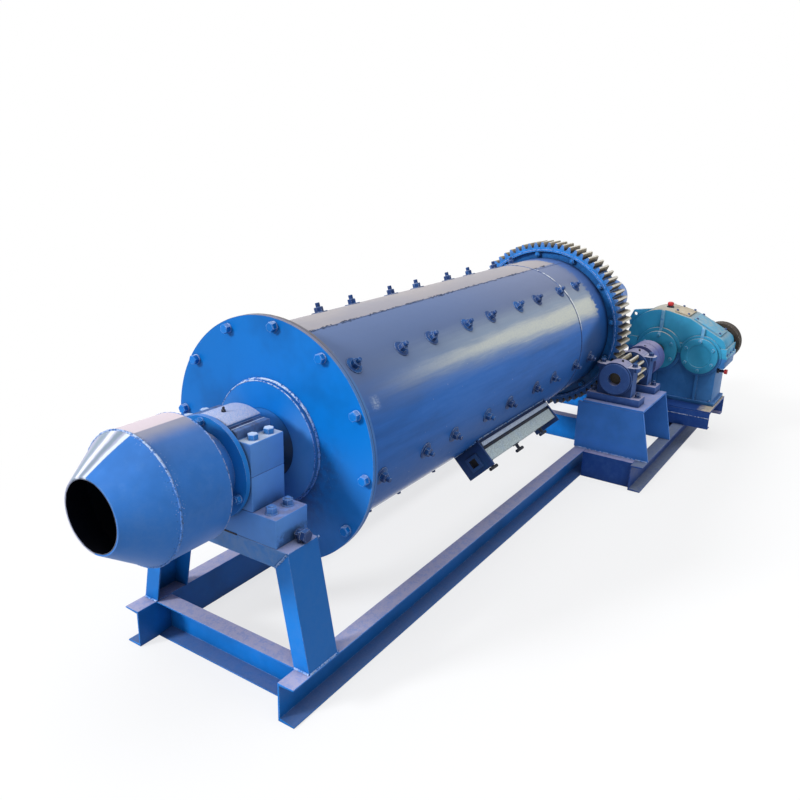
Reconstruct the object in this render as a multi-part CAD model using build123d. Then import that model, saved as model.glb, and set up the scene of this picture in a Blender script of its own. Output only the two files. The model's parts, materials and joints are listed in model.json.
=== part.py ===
from build123d import *
from math import acos, asin, atan2, cos, hypot, pi, radians, sin, sqrt, tan
import os

# Ball mill on a channel frame. X runs along the drum from the feed end to the drive end,
# the pinion and the reducer are on the -Y side, Z is up and the floor is at zero.
# While it is built, x = 0 is the outer face of the feed end plate and y = 0 the drum axis.

# Drum
axis_height = 900.0
drum_radius = 450.0
shell_thickness = 14.0
mill_length = 2825.0
end_flange_reach = 65.0
end_plate_thickness = 16.0
drum_flange_thickness = 14.0

# Hub flanges and hollow trunnions
hub_radius = 258.0
hub_thickness = 25.0
trunnion_radius = 120.0
trunnion_wall = 35.0
trunnion_collar = 25.0

# Trunnion bearings
bearing_standoff = 133.0
bearing_width = 176.0
bearing_block_half_length = 309.0
bearing_block_height = 115.0
bearing_shaft_height = 138.0
bearing_half_width = 198.0
bearing_pad_height = 129.0
bearing_pad_length = 64.0
bearing_step_length = 49.0
bearing_step_height = 36.0
bearing_cap_radius = 196.0

# Running clearances
journal_clearance = 0.08
shaft_clearance = 0.08
gear_side_clearance = 12.0
cover_clearance = 1.0
overcut = 1.0

# Channel section of the frame
channel_height = 170.0
channel_flange = 78.0
channel_web = 8.0
channel_tip = 7.0
channel_root = 12.0

# Base frame
rail_inner_y = 386.0
rail_front_overhang = 408.0
rail_tail = 31.0
outer_rail_y = 792.0
outer_rail_lead = 300.0
subframe_cross_offset = 42.0

# Bearing stands
stand_foot_inset = 6.0
stand_lean = 80.0

# Ring gear and pinion
gear_module = 15.0
gear_teeth = 72
pinion_teeth = 12
gear_width = 176.0
pinion_extra_width = 4.0
pressure_angle = 20.0
backlash = 1.6
root_depth = 1.25
root_fillet = 0.15
root_spread = 0.10
mesh_angle = 22.5
gear_setback = 105.0
gear_rim_thickness = 44.0
gear_web_thickness = 35.0
gear_flange_thickness = 25.0
gear_flange_gap = 2.0
gear_web_overlap = 1.0
gear_flank_steps = 3
pinion_flank_steps = 4

# Pinion stand and plummer blocks
pinion_stand_lead = 194.0
pinion_stand_tail = 145.0
pinion_stand_plate = 14.0
pinion_stand_inner_y = 376.0
pinion_stand_top_y = 803.0
stand_plate_gap = 6.0
pinion_shaft_radius = 40.0
plummer_shaft_height = 159.0
plummer_length = 124.0
plummer_radius = 108.0
plummer_foot_half = 172.0
plummer_foot_height = 48.0
plummer_foot_inset = 14.0
plummer_waist_half = 112.0
plummer_lug_half = 138.0
plummer_lug_height = 84.0
plummer_lug_thickness = 26.0
plummer_lug_inset = 22.0
plummer_lug_round = 24.0
plummer_gap = 22.0
plummer_closed_end = 36.0

# Feeder nozzle and discharge spout
ring_flange_gap = 10.0
ring_flange_radius = 202.0
ring_flange_thickness = 20.0
nozzle_radius = 243.0
nozzle_wall = 8.0
nozzle_neck_radius = 145.0
mouth_radius = 135.0
feeder_neck_length = 109.0
feeder_barrel_length = 226.0
feeder_cone_length = 158.0
spout_neck_length = 130.0
spout_barrel_length = 420.0
spout_cone_length = 410.0

# Discharge hatch
hatch_angle = 225.0
hatch_start = 1100.0
hatch_length = 840.0
hatch_half_width = 88.0
hatch_height = 140.0
hatch_wall = 14.0
hatch_seat = 4.0
hatch_bar_height = 36.0
hatch_bar_inset = 6.0
hatch_lid_start = 52.0
hatch_lid_height = 62.0
hatch_boss_size = 76.0
hatch_boss_hole = 40.0
hatch_boss_height = 10.0
hatch_boss_place = 78.0

# Coupling
coupling_radius = 114.0
coupling_half_length = 100.0
coupling_gap = 4.0
shaft_overhang = 150.0

# Reducer on its channels
reducer_setback = 735.0
reducer_width = 280.0
reducer_base_lead = 160.0
reducer_base_tail = 309.0
reducer_base_channel_height = 120.0
reducer_base_channel_flange = 53.0
reducer_base_plate = 12.0
reducer_base_inner_y = 350.0
reducer_base_outer_y = 1033.0

# Reducer case, from the axis of its output shaft
case_inner_reach = 237.0
case_outer_reach = 458.0
case_foot_thickness = 24.0
case_foot_overhang = 20.0
case_flange_overhang = 22.0
case_flange_lip = 12.0
case_flange_thickness = 18.0
case_boss_overhang = 20.0
case_boss_width = 58.0
case_boss_height = 70.0
case_rib_thickness = 20.0
crown_height = 291.0
back_radius = 247.0
knee_offset = 180.0
knee_height = 215.0
knee_radius = 40.0
shoulder_offset = 384.0
shoulder_height = 72.0
shoulder_radius = 74.0
lug_thickness = 22.0
lug_inset = 110.0
lug_rise = 242.0
lug_reach = 247.0
lug_corner_drop = 70.0
lug_corner_reach = 31.0
lug_hole_radius = 13.0
lug_hole_inset = 28.0

# Reducer shafts and covers
middle_shaft_offset = 295.0
input_offset_y = 344.0
input_offset_z = 38.0
output_boss_radius = 163.0
middle_boss_radius = 146.0
input_boss_radius = 62.0
output_cover_radius = 138.0
middle_cover_radius = 128.0
input_cover_radius = 56.0
cover_thickness = 22.0
cover_recess_radius = 82.0
cover_recess_depth = 7.0
inspection_inset = 34.0
inspection_margin = 14.0
inspection_thickness = 12.0
output_shaft_radius = 45.0
input_shaft_radius = 28.0
shaft_seat = 60.0
shaft_end_gap = 2.0

# Drive wheel
wheel_radius = 145.0
wheel_rim = 30.0
wheel_width = 92.0
wheel_gap = 14.0
wheel_web = 20.0
wheel_web_overlap = 1.0
wheel_hub_rim = 28.0
wheel_grooves = 4
groove_pitch = 21.0
groove_mouth = 15.0
groove_floor = 8.0
groove_depth = 16.0

# Derived places along the mill
rear_face = mill_length
mill_middle = mill_length / 2
rail_front = -rail_front_overhang
gear_front = rear_face - gear_setback
gear_rear = gear_front + gear_width
gear_middle = gear_front + gear_width / 2
head_front = rear_face - end_plate_thickness
gear_web_front = head_front - gear_web_thickness
gear_flange_front = gear_web_front - gear_flange_thickness
bearing_front = -bearing_standoff - bearing_width
bearing_rear = -bearing_standoff
outer_rail_front = gear_front - outer_rail_lead
stand_front = gear_front - pinion_stand_lead
stand_rear = gear_rear + pinion_stand_tail

# Derived drum sizes
shell_inner_radius = drum_radius - shell_thickness
end_plate_radius = drum_radius + end_flange_reach
trunnion_bore_radius = trunnion_radius - trunnion_wall
frame_flange_y = rail_inner_y + channel_flange

# Derived heights
rail_top = channel_height
block_top = axis_height - bearing_shaft_height
block_bottom = block_top - bearing_block_height
beam_bottom = block_bottom - channel_flange
leg_slope = stand_lean / (beam_bottom - rail_top)

# Derived gear geometry
gear_pitch_radius = gear_module * gear_teeth / 2
pinion_pitch_radius = gear_module * pinion_teeth / 2
gear_bore_radius = gear_pitch_radius - gear_rim_thickness
gear_flange_radius = gear_bore_radius - gear_flange_gap
centre_distance = gear_pitch_radius + pinion_pitch_radius
pinion_y = -centre_distance * cos(radians(mesh_angle))
pinion_z = axis_height - centre_distance * sin(radians(mesh_angle))
pinion_stand_top = pinion_z - plummer_shaft_height

# Derived reducer places
reducer_front = rear_face + reducer_setback
reducer_rear = reducer_front + reducer_width
boss_front = reducer_front - case_boss_overhang
boss_rear = reducer_rear + case_boss_overhang
reducer_base_front = reducer_front - reducer_base_lead
reducer_base_rear = reducer_front + reducer_base_tail
rail_rear = reducer_base_rear + rail_tail
reducer_base_top = rail_top + reducer_base_channel_height + reducer_base_plate
case_inner_y = pinion_y + case_inner_reach
case_outer_y = pinion_y - case_outer_reach
middle_shaft_y = pinion_y - middle_shaft_offset
input_y = pinion_y - input_offset_y
input_z = pinion_z + input_offset_z
wheel_front = boss_rear + cover_thickness + wheel_gap
wheel_rear = wheel_front + wheel_width


def block(x0, x1, y0, y1, z0, z1):
    """A box between two corners."""
    box = Box(abs(x1 - x0), abs(y1 - y0), abs(z1 - z0))
    return Pos((x0 + x1) / 2, (y0 + y1) / 2, (z0 + z1) / 2) * box


def x_cylinder(radius, x0, x1, y=0.0, z=axis_height):
    """A round bar along X."""
    return Pos((x0 + x1) / 2, y, z) * Rot(0, 90, 0) * Cylinder(radius, abs(x1 - x0))


def x_ring(outer, inner, x0, x1, y=0.0, z=axis_height):
    """A ring around an axis along X."""
    return x_cylinder(outer, x0, x1, y, z) - x_cylinder(inner, x0 - overcut, x1 + overcut, y, z)


def yz_plate(points, x0, x1):
    """A plate with an outline in the YZ plane, from x0 to x1."""
    outline = Polyline(*[(x0, y, z) for y, z in points], close=True)
    return extrude(make_face(outline), amount=x1 - x0, dir=(1, 0, 0))


def revolved(points):
    """A body of revolution about the drum axis, from points of x and radius."""
    outline = Polyline(*[(x, 0, axis_height + r) for x, r in points], close=True)
    return revolve(make_face(outline), axis=Axis((0, 0, axis_height), (1, 0, 0)))


def mirrored_end(shape):
    """The same piece at the other end of the mill."""
    return mirror(shape, about=Plane(origin=(mill_middle, 0, 0), z_dir=(1, 0, 0)))


def mirrored_side(shape):
    """The same piece on the other side of the drum axis."""
    return mirror(shape, about=Plane.XZ)


def channel_section(height, flange):
    """Points of a rolled channel: the web stands at u = 0, the flanges taper towards +u."""
    return [
        (0, 0),
        (flange, 0),
        (flange, channel_tip),
        (channel_web, channel_root),
        (channel_web, height - channel_root),
        (flange, height - channel_tip),
        (flange, height),
        (0, height),
    ]


def channel_along_x(x0, x1, web_y, side, z0=0.0):
    """A channel rail, with the back of its web at web_y and flanges towards side."""
    points = [(web_y + side * u, z0 + v) for u, v in channel_section(channel_height, channel_flange)]
    return yz_plate(points, x0, x1)


def channel_along_y(y0, y1, web_x, side, z0=0.0, height=channel_height, flange=channel_flange):
    """A cross channel, with the back of its web at web_x and flanges towards side."""
    points = [(web_x + side * u, y0, z0 + v) for u, v in channel_section(height, flange)]
    return extrude(make_face(Polyline(*points, close=True)), amount=y1 - y0, dir=(0, 1, 0))


def involute(angle):
    """The involute function of a pressure angle."""
    return tan(angle) - angle


def tooth_outline(teeth, flank_steps, phase):
    """Points of a spur gear outline, with one tooth centred on the angle phase."""
    pitch_radius = gear_module * teeth / 2
    base_radius = pitch_radius * cos(radians(pressure_angle))
    tip_radius = pitch_radius + gear_module
    root_radius = pitch_radius - root_depth * gear_module
    flank_start = max(root_radius + root_fillet * gear_module, base_radius)
    half_tooth = pi / (2 * teeth) - backlash / (4 * pitch_radius)
    flank = []
    for step in range(flank_steps + 1):
        radius = flank_start + (tip_radius - flank_start) * step / flank_steps
        pressure = acos(min(1.0, base_radius / radius))
        flank.append((radius, half_tooth + involute(radians(pressure_angle)) - involute(pressure)))
    root_half = flank[0][1] + root_spread * gear_module / root_radius
    points = []
    for tooth in range(teeth):
        middle = phase + 2 * pi * tooth / teeth
        rising = [(root_radius, -root_half)] + [(r, -a) for r, a in flank]
        falling = [(r, a) for r, a in reversed(flank)] + [(root_radius, root_half)]
        for radius, angle in rising + falling:
            points.append((radius * cos(middle + angle), radius * sin(middle + angle)))
    return points


def toothed_wheel(teeth, flank_steps, phase, x0, x1, y, z):
    """A solid spur gear along X."""
    outline = tooth_outline(teeth, flank_steps, phase)
    return yz_plate([(y + u, z + v) for u, v in outline], x0, x1)


def left_rail():
    return channel_along_x(rail_front, rail_rear, rail_inner_y, 1)


def outer_rail():
    return channel_along_x(outer_rail_front, rail_rear, -outer_rail_y, -1)


def stand_cross_channels():
    """Cross channels under the two bearing stands, their flanges pointing away from the drum."""
    feed_web = bearing_front + channel_flange
    feed = channel_along_y(-rail_inner_y, rail_inner_y, feed_web, -1)
    discharge = channel_along_y(-rail_inner_y, rail_inner_y, rear_face - feed_web, 1)
    return [feed, discharge]


def end_cross_channel():
    return channel_along_y(-rail_inner_y, rail_inner_y, rail_rear - channel_flange, 1)


def subframe_crosses():
    """Two short channels from the main rail out to the outer rail."""
    front_web = outer_rail_front + subframe_cross_offset
    rear_web = rail_rear - subframe_cross_offset
    front = channel_along_y(-outer_rail_y, -frame_flange_y, front_web, 1)
    rear = channel_along_y(-outer_rail_y, -frame_flange_y, rear_web, -1)
    return [front, rear]


def leg_outer_y(z):
    """Outer side of a leaning leg at a height."""
    return frame_flange_y - stand_foot_inset - leg_slope * (z - rail_top)


def above_mitre():
    """The space of the beam, down to the mitre joint with each leg."""
    top = leg_outer_y(block_bottom)
    low = leg_outer_y(beam_bottom) - channel_flange
    points = [(-top, block_bottom), (-low, beam_bottom), (low, beam_bottom), (top, block_bottom)]
    return yz_plate(points, bearing_front, bearing_front + channel_height)


def stand_leg():
    """Left leg of the feed stand: a channel with its web outside, leaning inwards to the mitre joint."""
    section = channel_section(channel_height, channel_flange)
    points = [(bearing_front + v, leg_outer_y(rail_top) - u, rail_top) for u, v in section]
    rise = block_bottom - rail_top
    lean = leg_slope * rise
    foot = make_face(Polyline(*points, close=True))
    return extrude(foot, amount=hypot(lean, rise), dir=(0, -lean, rise)) - above_mitre()


def stand_beam():
    """Channel laid flat between the mitre joints, its web up."""
    half = leg_outer_y(block_bottom)
    section = channel_section(channel_height, channel_flange)
    points = [(bearing_front + v, -half, block_bottom - u) for u, v in section]
    beam = extrude(make_face(Polyline(*points, close=True)), amount=2 * half, dir=(0, 1, 0))
    return beam & above_mitre()


def bearing_base():
    half = bearing_block_half_length
    return block(bearing_front, bearing_rear, -half, half, block_bottom, block_top)


def bearing_bore():
    return x_cylinder(trunnion_radius + journal_clearance, bearing_front - overcut, bearing_rear + overcut)


def bearing_housing():
    half = bearing_half_width
    return block(bearing_front, bearing_rear, -half, half, block_top, axis_height) - bearing_bore()


def bearing_cap():
    """Cap with two bolt pads, a step and a round top."""
    pad_z = axis_height + bearing_pad_height
    step_z = pad_z + bearing_step_height
    step_y = bearing_half_width - bearing_pad_length
    arch_y = step_y - bearing_step_length
    half = bearing_half_width
    pads = block(bearing_front, bearing_rear, -half, half, axis_height, pad_z)
    step = block(bearing_front, bearing_rear, -step_y, step_y, axis_height, step_z)
    arch = x_cylinder(bearing_cap_radius, bearing_front, bearing_rear)
    arch &= block(bearing_front, bearing_rear, -arch_y, arch_y, axis_height, axis_height + half)
    return pads + step + arch - bearing_bore()


def drum_shell():
    """Rolled shell with a flange at each end."""
    front_flange = end_plate_thickness + drum_flange_thickness
    return revolved([
        (end_plate_thickness, shell_inner_radius),
        (end_plate_thickness, end_plate_radius),
        (front_flange, end_plate_radius),
        (front_flange, drum_radius),
        (gear_flange_front, drum_radius),
        (gear_flange_front, gear_flange_radius),
        (gear_web_front, gear_flange_radius),
        (gear_web_front, shell_inner_radius),
    ])


def feed_end_plate():
    return x_ring(end_plate_radius, trunnion_bore_radius, 0, end_plate_thickness)


def discharge_end_plate():
    return x_ring(gear_flange_radius, trunnion_bore_radius, head_front, rear_face)


def feed_trunnion():
    """Hub flange and hollow journal in one casting."""
    journal_end = bearing_front - ring_flange_gap
    return revolved([
        (0, trunnion_bore_radius),
        (0, hub_radius),
        (-hub_thickness, hub_radius),
        (-hub_thickness, trunnion_radius + trunnion_collar),
        (-hub_thickness - trunnion_collar, trunnion_radius),
        (journal_end, trunnion_radius),
        (journal_end, trunnion_bore_radius),
    ])


def ring_flange():
    x1 = bearing_front - ring_flange_gap
    return x_ring(ring_flange_radius, trunnion_bore_radius, x1 - ring_flange_thickness, x1)


def nozzle(neck, barrel, cone):
    """Neck, closed back, barrel and cone, all of one wall."""
    start = bearing_front - ring_flange_gap - ring_flange_thickness
    back = start - neck
    front = back - barrel
    mouth = front - cone
    inner = nozzle_radius - nozzle_wall
    return revolved([
        (start, trunnion_bore_radius),
        (start, nozzle_neck_radius),
        (back, nozzle_neck_radius),
        (back, nozzle_radius),
        (front, nozzle_radius),
        (mouth, mouth_radius),
        (mouth, mouth_radius - nozzle_wall),
        (front, inner),
        (back - nozzle_wall, inner),
        (back - nozzle_wall, trunnion_bore_radius),
    ])


def ring_gear():
    """Toothed rim with a web that is bolted between the drum flange and the head."""
    rim = toothed_wheel(gear_teeth, gear_flank_steps, 0.0, gear_front, gear_rear, 0, axis_height)
    rim -= x_cylinder(gear_bore_radius, gear_front - overcut, gear_rear + overcut)
    return rim + x_ring(gear_bore_radius + gear_web_overlap, shell_inner_radius, gear_web_front, head_front)


def pinion():
    """Pinion whose tooth gap faces a tooth of the ring gear."""
    facing = radians(180 + mesh_angle)
    gear_pitch = 2 * pi / gear_teeth
    nearest = round(facing / gear_pitch)
    offset = (facing - nearest * gear_pitch) * gear_teeth / pinion_teeth
    phase = radians(mesh_angle) + offset + pi / pinion_teeth
    x0 = gear_front - pinion_extra_width / 2
    x1 = gear_rear + pinion_extra_width / 2
    wheel = toothed_wheel(pinion_teeth, pinion_flank_steps, phase, x0, x1, pinion_y, pinion_z)
    return wheel - x_cylinder(pinion_shaft_radius, x0 - overcut, x1 + overcut, pinion_y, pinion_z)


def plummer_starts():
    """Where the two plummer blocks start along X, one on each side of the pinion."""
    reach = gear_width / 2 + pinion_extra_width / 2 + plummer_gap
    return [gear_middle - reach - plummer_length, gear_middle + reach]


def pinion_shaft_end():
    return plummer_starts()[1] + plummer_length + shaft_overhang


def pinion_shaft():
    """Shaft that ends inside the front plummer block and comes out of the rear one."""
    x0 = plummer_starts()[0] + plummer_closed_end
    return x_cylinder(pinion_shaft_radius, x0, pinion_shaft_end(), pinion_y, pinion_z)


def plummer_bore(x0, x1):
    return x_cylinder(pinion_shaft_radius + shaft_clearance, x0 - overcut, x1 + overcut, pinion_y, pinion_z)


def about_pinion(x0, x1, half, z0, z1):
    """A box centred on the pinion axis across the mill."""
    return block(x0, x1, pinion_y - half, pinion_y + half, z0, z1)


def plummer_housing(x0):
    """Round housing with straight sides on a thick foot, with a bore for the shaft."""
    x1 = x0 + plummer_length
    inset = plummer_foot_inset
    base = pinion_stand_top
    foot = about_pinion(x0, x1, plummer_foot_half, base, base + plummer_foot_height)
    sides = about_pinion(x0 + inset, x1 - inset, plummer_waist_half, base, pinion_z)
    body = x_cylinder(plummer_radius, x0, x1, pinion_y, pinion_z)
    body &= about_pinion(x0, x1, plummer_foot_half, base, pinion_z)
    return foot + sides + body - plummer_bore(x0, x1)


def plummer_cap(x0):
    """Round cap with a rounded bolt lug on each side."""
    x1 = x0 + plummer_length
    inset = plummer_foot_inset
    lug_top = pinion_z + plummer_lug_height
    round_cap = x_cylinder(plummer_radius, x0, x1, pinion_y, pinion_z)
    round_cap &= about_pinion(x0, x1, plummer_radius, pinion_z, pinion_z + plummer_radius)
    sides = about_pinion(x0 + inset, x1 - inset, plummer_waist_half, pinion_z, lug_top)
    inset = plummer_lug_inset
    lug = about_pinion(x0 + inset, x1 - inset, plummer_lug_half, lug_top - plummer_lug_thickness, lug_top)
    lug = fillet(lug.edges().filter_by(Axis.Z), plummer_lug_round)
    return round_cap + sides + lug - plummer_bore(x0, x1)


def stand_plate(x0, foot_y, top_y):
    """Upright plate of the pinion stand, standing on the main rail and the outer rail."""
    outer_foot = outer_rail_y + channel_flange
    top = pinion_stand_top - pinion_stand_plate
    points = [(-foot_y, rail_top), (-outer_foot, rail_top), (-pinion_stand_top_y, top), (-top_y, top)]
    return yz_plate(points, x0, x0 + pinion_stand_plate)


def pinion_stand_front_plate():
    return stand_plate(stand_front, pinion_stand_inner_y, pinion_stand_inner_y)


def pinion_stand_back_plate():
    """Back plate, cut clear of the leaning leg of the discharge stand."""
    top = pinion_stand_top - pinion_stand_plate
    gap = stand_foot_inset + stand_plate_gap
    return stand_plate(stand_rear - pinion_stand_plate, leg_outer_y(rail_top) + gap, leg_outer_y(top) + gap)


def pinion_stand_top_plate():
    """Top plate, cut round where the ring gear passes."""
    z0 = pinion_stand_top - pinion_stand_plate
    inner = leg_outer_y(z0) + stand_foot_inset + stand_plate_gap
    plate = block(stand_front, stand_rear, -pinion_stand_top_y, -inner, z0, pinion_stand_top)
    clear = gear_pitch_radius + gear_module + gear_side_clearance
    return plate - x_cylinder(clear, gear_front - gear_side_clearance, gear_rear + gear_side_clearance)


def reducer_base_channels():
    flange = reducer_base_channel_flange
    height = reducer_base_channel_height
    y0 = -reducer_base_outer_y
    y1 = -reducer_base_inner_y
    front = channel_along_y(y0, y1, reducer_base_front, 1, rail_top, height, flange)
    rear = channel_along_y(y0, y1, reducer_base_rear, -1, rail_top, height, flange)
    return front + rear


def reducer_base_top_plate():
    z0 = rail_top + reducer_base_channel_height
    y0 = -reducer_base_outer_y
    y1 = -reducer_base_inner_y
    return block(reducer_base_front, reducer_base_rear, y0, y1, z0, reducer_base_top)


def case_rounds():
    """Rounds of the upper case as y, z and radius: over the big gear, at the knee and at the shoulder."""
    back = (pinion_y, pinion_z + crown_height - back_radius, back_radius)
    knee = (pinion_y - knee_offset, pinion_z + knee_height, knee_radius)
    shoulder = (pinion_y - shoulder_offset, pinion_z + shoulder_height, shoulder_radius)
    return [back, knee, shoulder]


def upper_tangent(first, second):
    """The straight line lying on two rounds: its two ends and its upward normal."""
    y0, z0, r0 = first
    y1, z1, r1 = second
    lean = asin((r0 - r1) / hypot(y1 - y0, z1 - z0))
    angle = atan2(z1 - z0, y1 - y0) - pi / 2 + lean
    normal = (cos(angle), sin(angle))
    start = (y0 + r0 * normal[0], z0 + r0 * normal[1])
    end = (y1 + r1 * normal[0], z1 + r1 * normal[1])
    return start, end, normal


def reducer_hull(x0, x1):
    """Upper case body: one skin stretched over its three rounds and down to the split line."""
    edges = []
    for y, z, radius in case_rounds():
        edges.extend((Pos(y, z) * Circle(radius)).edges())
    edges.append(Line((case_inner_y - case_foot_overhang, pinion_z), (case_outer_y, pinion_z)))
    plane = Plane(origin=(x0, 0, 0), x_dir=(0, 1, 0), z_dir=(1, 0, 0))
    hull = extrude(plane * make_hull(edges), amount=x1 - x0)
    outer = case_outer_y - case_flange_overhang
    inner = case_inner_y + case_flange_overhang
    return hull & block(x0, x1, outer, inner, pinion_z, pinion_z + crown_height + overcut)


def reducer_bosses(z0, z1):
    """Thick rounds of the case around the output and the middle bearings, cut to a height range."""
    bosses = x_cylinder(output_boss_radius, boss_front, boss_rear, pinion_y, pinion_z)
    bosses += x_cylinder(middle_boss_radius, boss_front, boss_rear, middle_shaft_y, pinion_z)
    return bosses & block(boss_front, boss_rear, case_outer_y, case_inner_y, z0, z1)


def split_flange(z0, z1):
    """Flange round the case at the split line."""
    lip = case_flange_lip
    reach = case_flange_overhang
    return block(reducer_front - lip, reducer_rear + lip, case_outer_y - reach, case_inner_y + reach, z0, z1)


def bolt_bosses(z0, z1):
    """Blocks beside the bearings that the long case bolts go through."""
    half = case_boss_width / 2
    places = [
        pinion_y + output_boss_radius + half,
        (pinion_y + middle_shaft_y) / 2 - half / 2,
        middle_shaft_y - middle_boss_radius,
    ]
    lip = case_flange_lip
    blocks = [block(reducer_front - lip, reducer_rear + lip, y - half, y + half, z0, z1) for y in places]
    return blocks[0] + blocks[1] + blocks[2]


def input_boss(z0, z1):
    """Thick round of the rear wall around the input bearing, cut to a height range."""
    reach = input_boss_radius
    boss = x_cylinder(reach, reducer_rear, boss_rear, input_y, input_z)
    return boss & block(reducer_rear, boss_rear, input_y - reach, input_y + reach, z0, z1)


def without_shaft_bores(case):
    """Cut the blind bores of the output and the input shaft."""
    radius = output_shaft_radius + shaft_clearance
    case -= x_cylinder(radius, boss_front - overcut, reducer_front + shaft_seat, pinion_y, pinion_z)
    radius = input_shaft_radius + shaft_clearance
    return case - x_cylinder(radius, reducer_rear - shaft_seat, boss_rear + overcut, input_y, input_z)


def case_ribs(z0, z1):
    """Upright ribs on both faces, in line with the output and the middle shafts."""
    half = case_rib_thickness / 2
    ribs = block(boss_front, boss_rear, pinion_y - half, pinion_y + half, z0, z1)
    return ribs + block(boss_front, boss_rear, middle_shaft_y - half, middle_shaft_y + half, z0, z1)


def reducer_lower_case():
    """Lower half of the case, from the foot to the split line."""
    reach = case_foot_overhang
    foot_top = reducer_base_top + case_foot_thickness
    x0 = reducer_front - reach
    x1 = reducer_rear + reach
    foot = block(x0, x1, case_outer_y + reach, case_inner_y - reach, reducer_base_top, foot_top)
    inner = case_inner_y - 2 * reach
    outer = case_outer_y + 2 * reach
    body = block(reducer_front, reducer_rear, outer, inner, reducer_base_top, pinion_z)
    flange = split_flange(pinion_z - case_flange_thickness, pinion_z)
    case = foot + body + flange + reducer_bosses(foot_top, pinion_z)
    case += case_ribs(foot_top, pinion_z)
    case += bolt_bosses(pinion_z - case_boss_height, pinion_z)
    case += input_boss(input_z - input_boss_radius, pinion_z)
    return without_shaft_bores(case)


def lifting_lug():
    """Plate over the round back, in the middle of the case, with a hole for the sling."""
    back_y, back_z, radius = case_rounds()[0]
    top = pinion_z + lug_rise
    edge = pinion_y + lug_reach
    points = [
        (back_y, back_z),
        (back_y + radius, back_z),
        (edge + lug_corner_reach, top - lug_corner_drop),
        (edge, top),
        (back_y, back_z + radius),
    ]
    x0 = reducer_front + lug_inset
    x1 = x0 + lug_thickness
    hole_y = edge - lug_hole_inset / 2
    hole = x_cylinder(lug_hole_radius, x0 - overcut, x1 + overcut, hole_y, top - lug_hole_inset)
    return yz_plate(points, x0, x1) - hole


def reducer_upper_case():
    """Upper half with a round back over the big gear and a slope down to the shoulder."""
    case = reducer_hull(reducer_front, reducer_rear)
    case += split_flange(pinion_z, pinion_z + case_flange_thickness)
    case += reducer_bosses(pinion_z, pinion_z + output_boss_radius)
    ribs = case_ribs(pinion_z, pinion_z + crown_height)
    case += ribs & reducer_hull(boss_front, boss_rear)
    case += bolt_bosses(pinion_z, pinion_z + case_boss_height)
    case += input_boss(pinion_z, input_z + input_boss_radius)
    return without_shaft_bores(case + lifting_lug())


def reducer_covers():
    """Round bearing covers on the front and the rear of the reducer."""
    thick = cover_thickness
    output_bore = output_shaft_radius + cover_clearance
    input_bore = input_shaft_radius + cover_clearance
    cover_front = boss_front - thick
    recess_end = cover_front + cover_recess_depth
    middle_front = x_cylinder(middle_cover_radius, cover_front, boss_front, middle_shaft_y, pinion_z)
    middle_front -= x_cylinder(
        cover_recess_radius, cover_front - overcut, recess_end, middle_shaft_y, pinion_z
    )
    return [
        x_ring(output_cover_radius, output_bore, cover_front, boss_front, pinion_y, pinion_z),
        middle_front,
        x_cylinder(output_cover_radius, boss_rear, boss_rear + thick, pinion_y, pinion_z),
        x_ring(input_cover_radius, input_bore, boss_rear, boss_rear + thick, input_y, input_z),
    ]


def cover_on_slope(first, second):
    """Flat cover plate lying on the straight part between two rounds of the case."""
    start, end, normal = upper_tangent(first, second)
    length = hypot(end[0] - start[0], end[1] - start[1])
    along = ((end[0] - start[0]) / length, (end[1] - start[1]) / length)
    corners = []
    for reach in (inspection_margin, length - inspection_margin):
        corners.append((start[0] + along[0] * reach, start[1] + along[1] * reach))
    rise = (normal[0] * inspection_thickness, normal[1] * inspection_thickness)
    points = corners + [(y + rise[0], z + rise[1]) for y, z in reversed(corners)]
    return yz_plate(points, reducer_front + inspection_inset, reducer_rear - inspection_inset)


def reducer_inspection_covers():
    """Plates on the crown and on the slope."""
    back, knee, shoulder = case_rounds()
    return [cover_on_slope(back, knee), cover_on_slope(knee, shoulder)]


def output_shaft():
    x0 = pinion_shaft_end() + coupling_gap
    x1 = reducer_front + shaft_seat - shaft_end_gap
    return x_cylinder(output_shaft_radius, x0, x1, pinion_y, pinion_z)


def coupling_halves():
    """One hub on the pinion shaft and one on the output shaft."""
    x0 = pinion_shaft_end() - coupling_half_length
    x1 = pinion_shaft_end() + coupling_gap
    return [
        x_ring(coupling_radius, pinion_shaft_radius, x0, x0 + coupling_half_length, pinion_y, pinion_z),
        x_ring(coupling_radius, output_shaft_radius, x1, x1 + coupling_half_length, pinion_y, pinion_z),
    ]


def input_shaft():
    x0 = reducer_rear - shaft_seat + shaft_end_gap
    return x_cylinder(input_shaft_radius, x0, wheel_rear, input_y, input_z)


def input_wheel():
    """Belt wheel with a row of wedge grooves round its rim."""
    middle = (wheel_front + wheel_rear) / 2
    rim = x_ring(wheel_radius, wheel_radius - wheel_rim, wheel_front, wheel_rear, input_y, input_z)
    for number in range(wheel_grooves):
        x = middle + (number - (wheel_grooves - 1) / 2) * groove_pitch
        rim -= wedge_groove(x)
    web_half = wheel_web / 2
    web_radius = wheel_radius - wheel_rim + wheel_web_overlap
    web = x_cylinder(web_radius, middle - web_half, middle + web_half, input_y, input_z)
    hub = x_cylinder(input_shaft_radius + wheel_hub_rim, wheel_front, wheel_rear, input_y, input_z)
    bore = x_cylinder(input_shaft_radius, wheel_front - overcut, wheel_rear + overcut, input_y, input_z)
    return rim + web + hub - bore


def wedge_groove(x):
    """Ring of wedge section, cut into the rim of the wheel at x."""
    outer = wheel_radius + overcut
    points = [
        (x - groove_mouth / 2, outer),
        (x + groove_mouth / 2, outer),
        (x + groove_floor / 2, wheel_radius - groove_depth),
        (x - groove_floor / 2, wheel_radius - groove_depth),
    ]
    outline = Polyline(*[(u, input_y, input_z + r) for u, r in points], close=True)
    return revolve(make_face(outline), axis=Axis((0, input_y, input_z), (1, 0, 0)))


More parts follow.
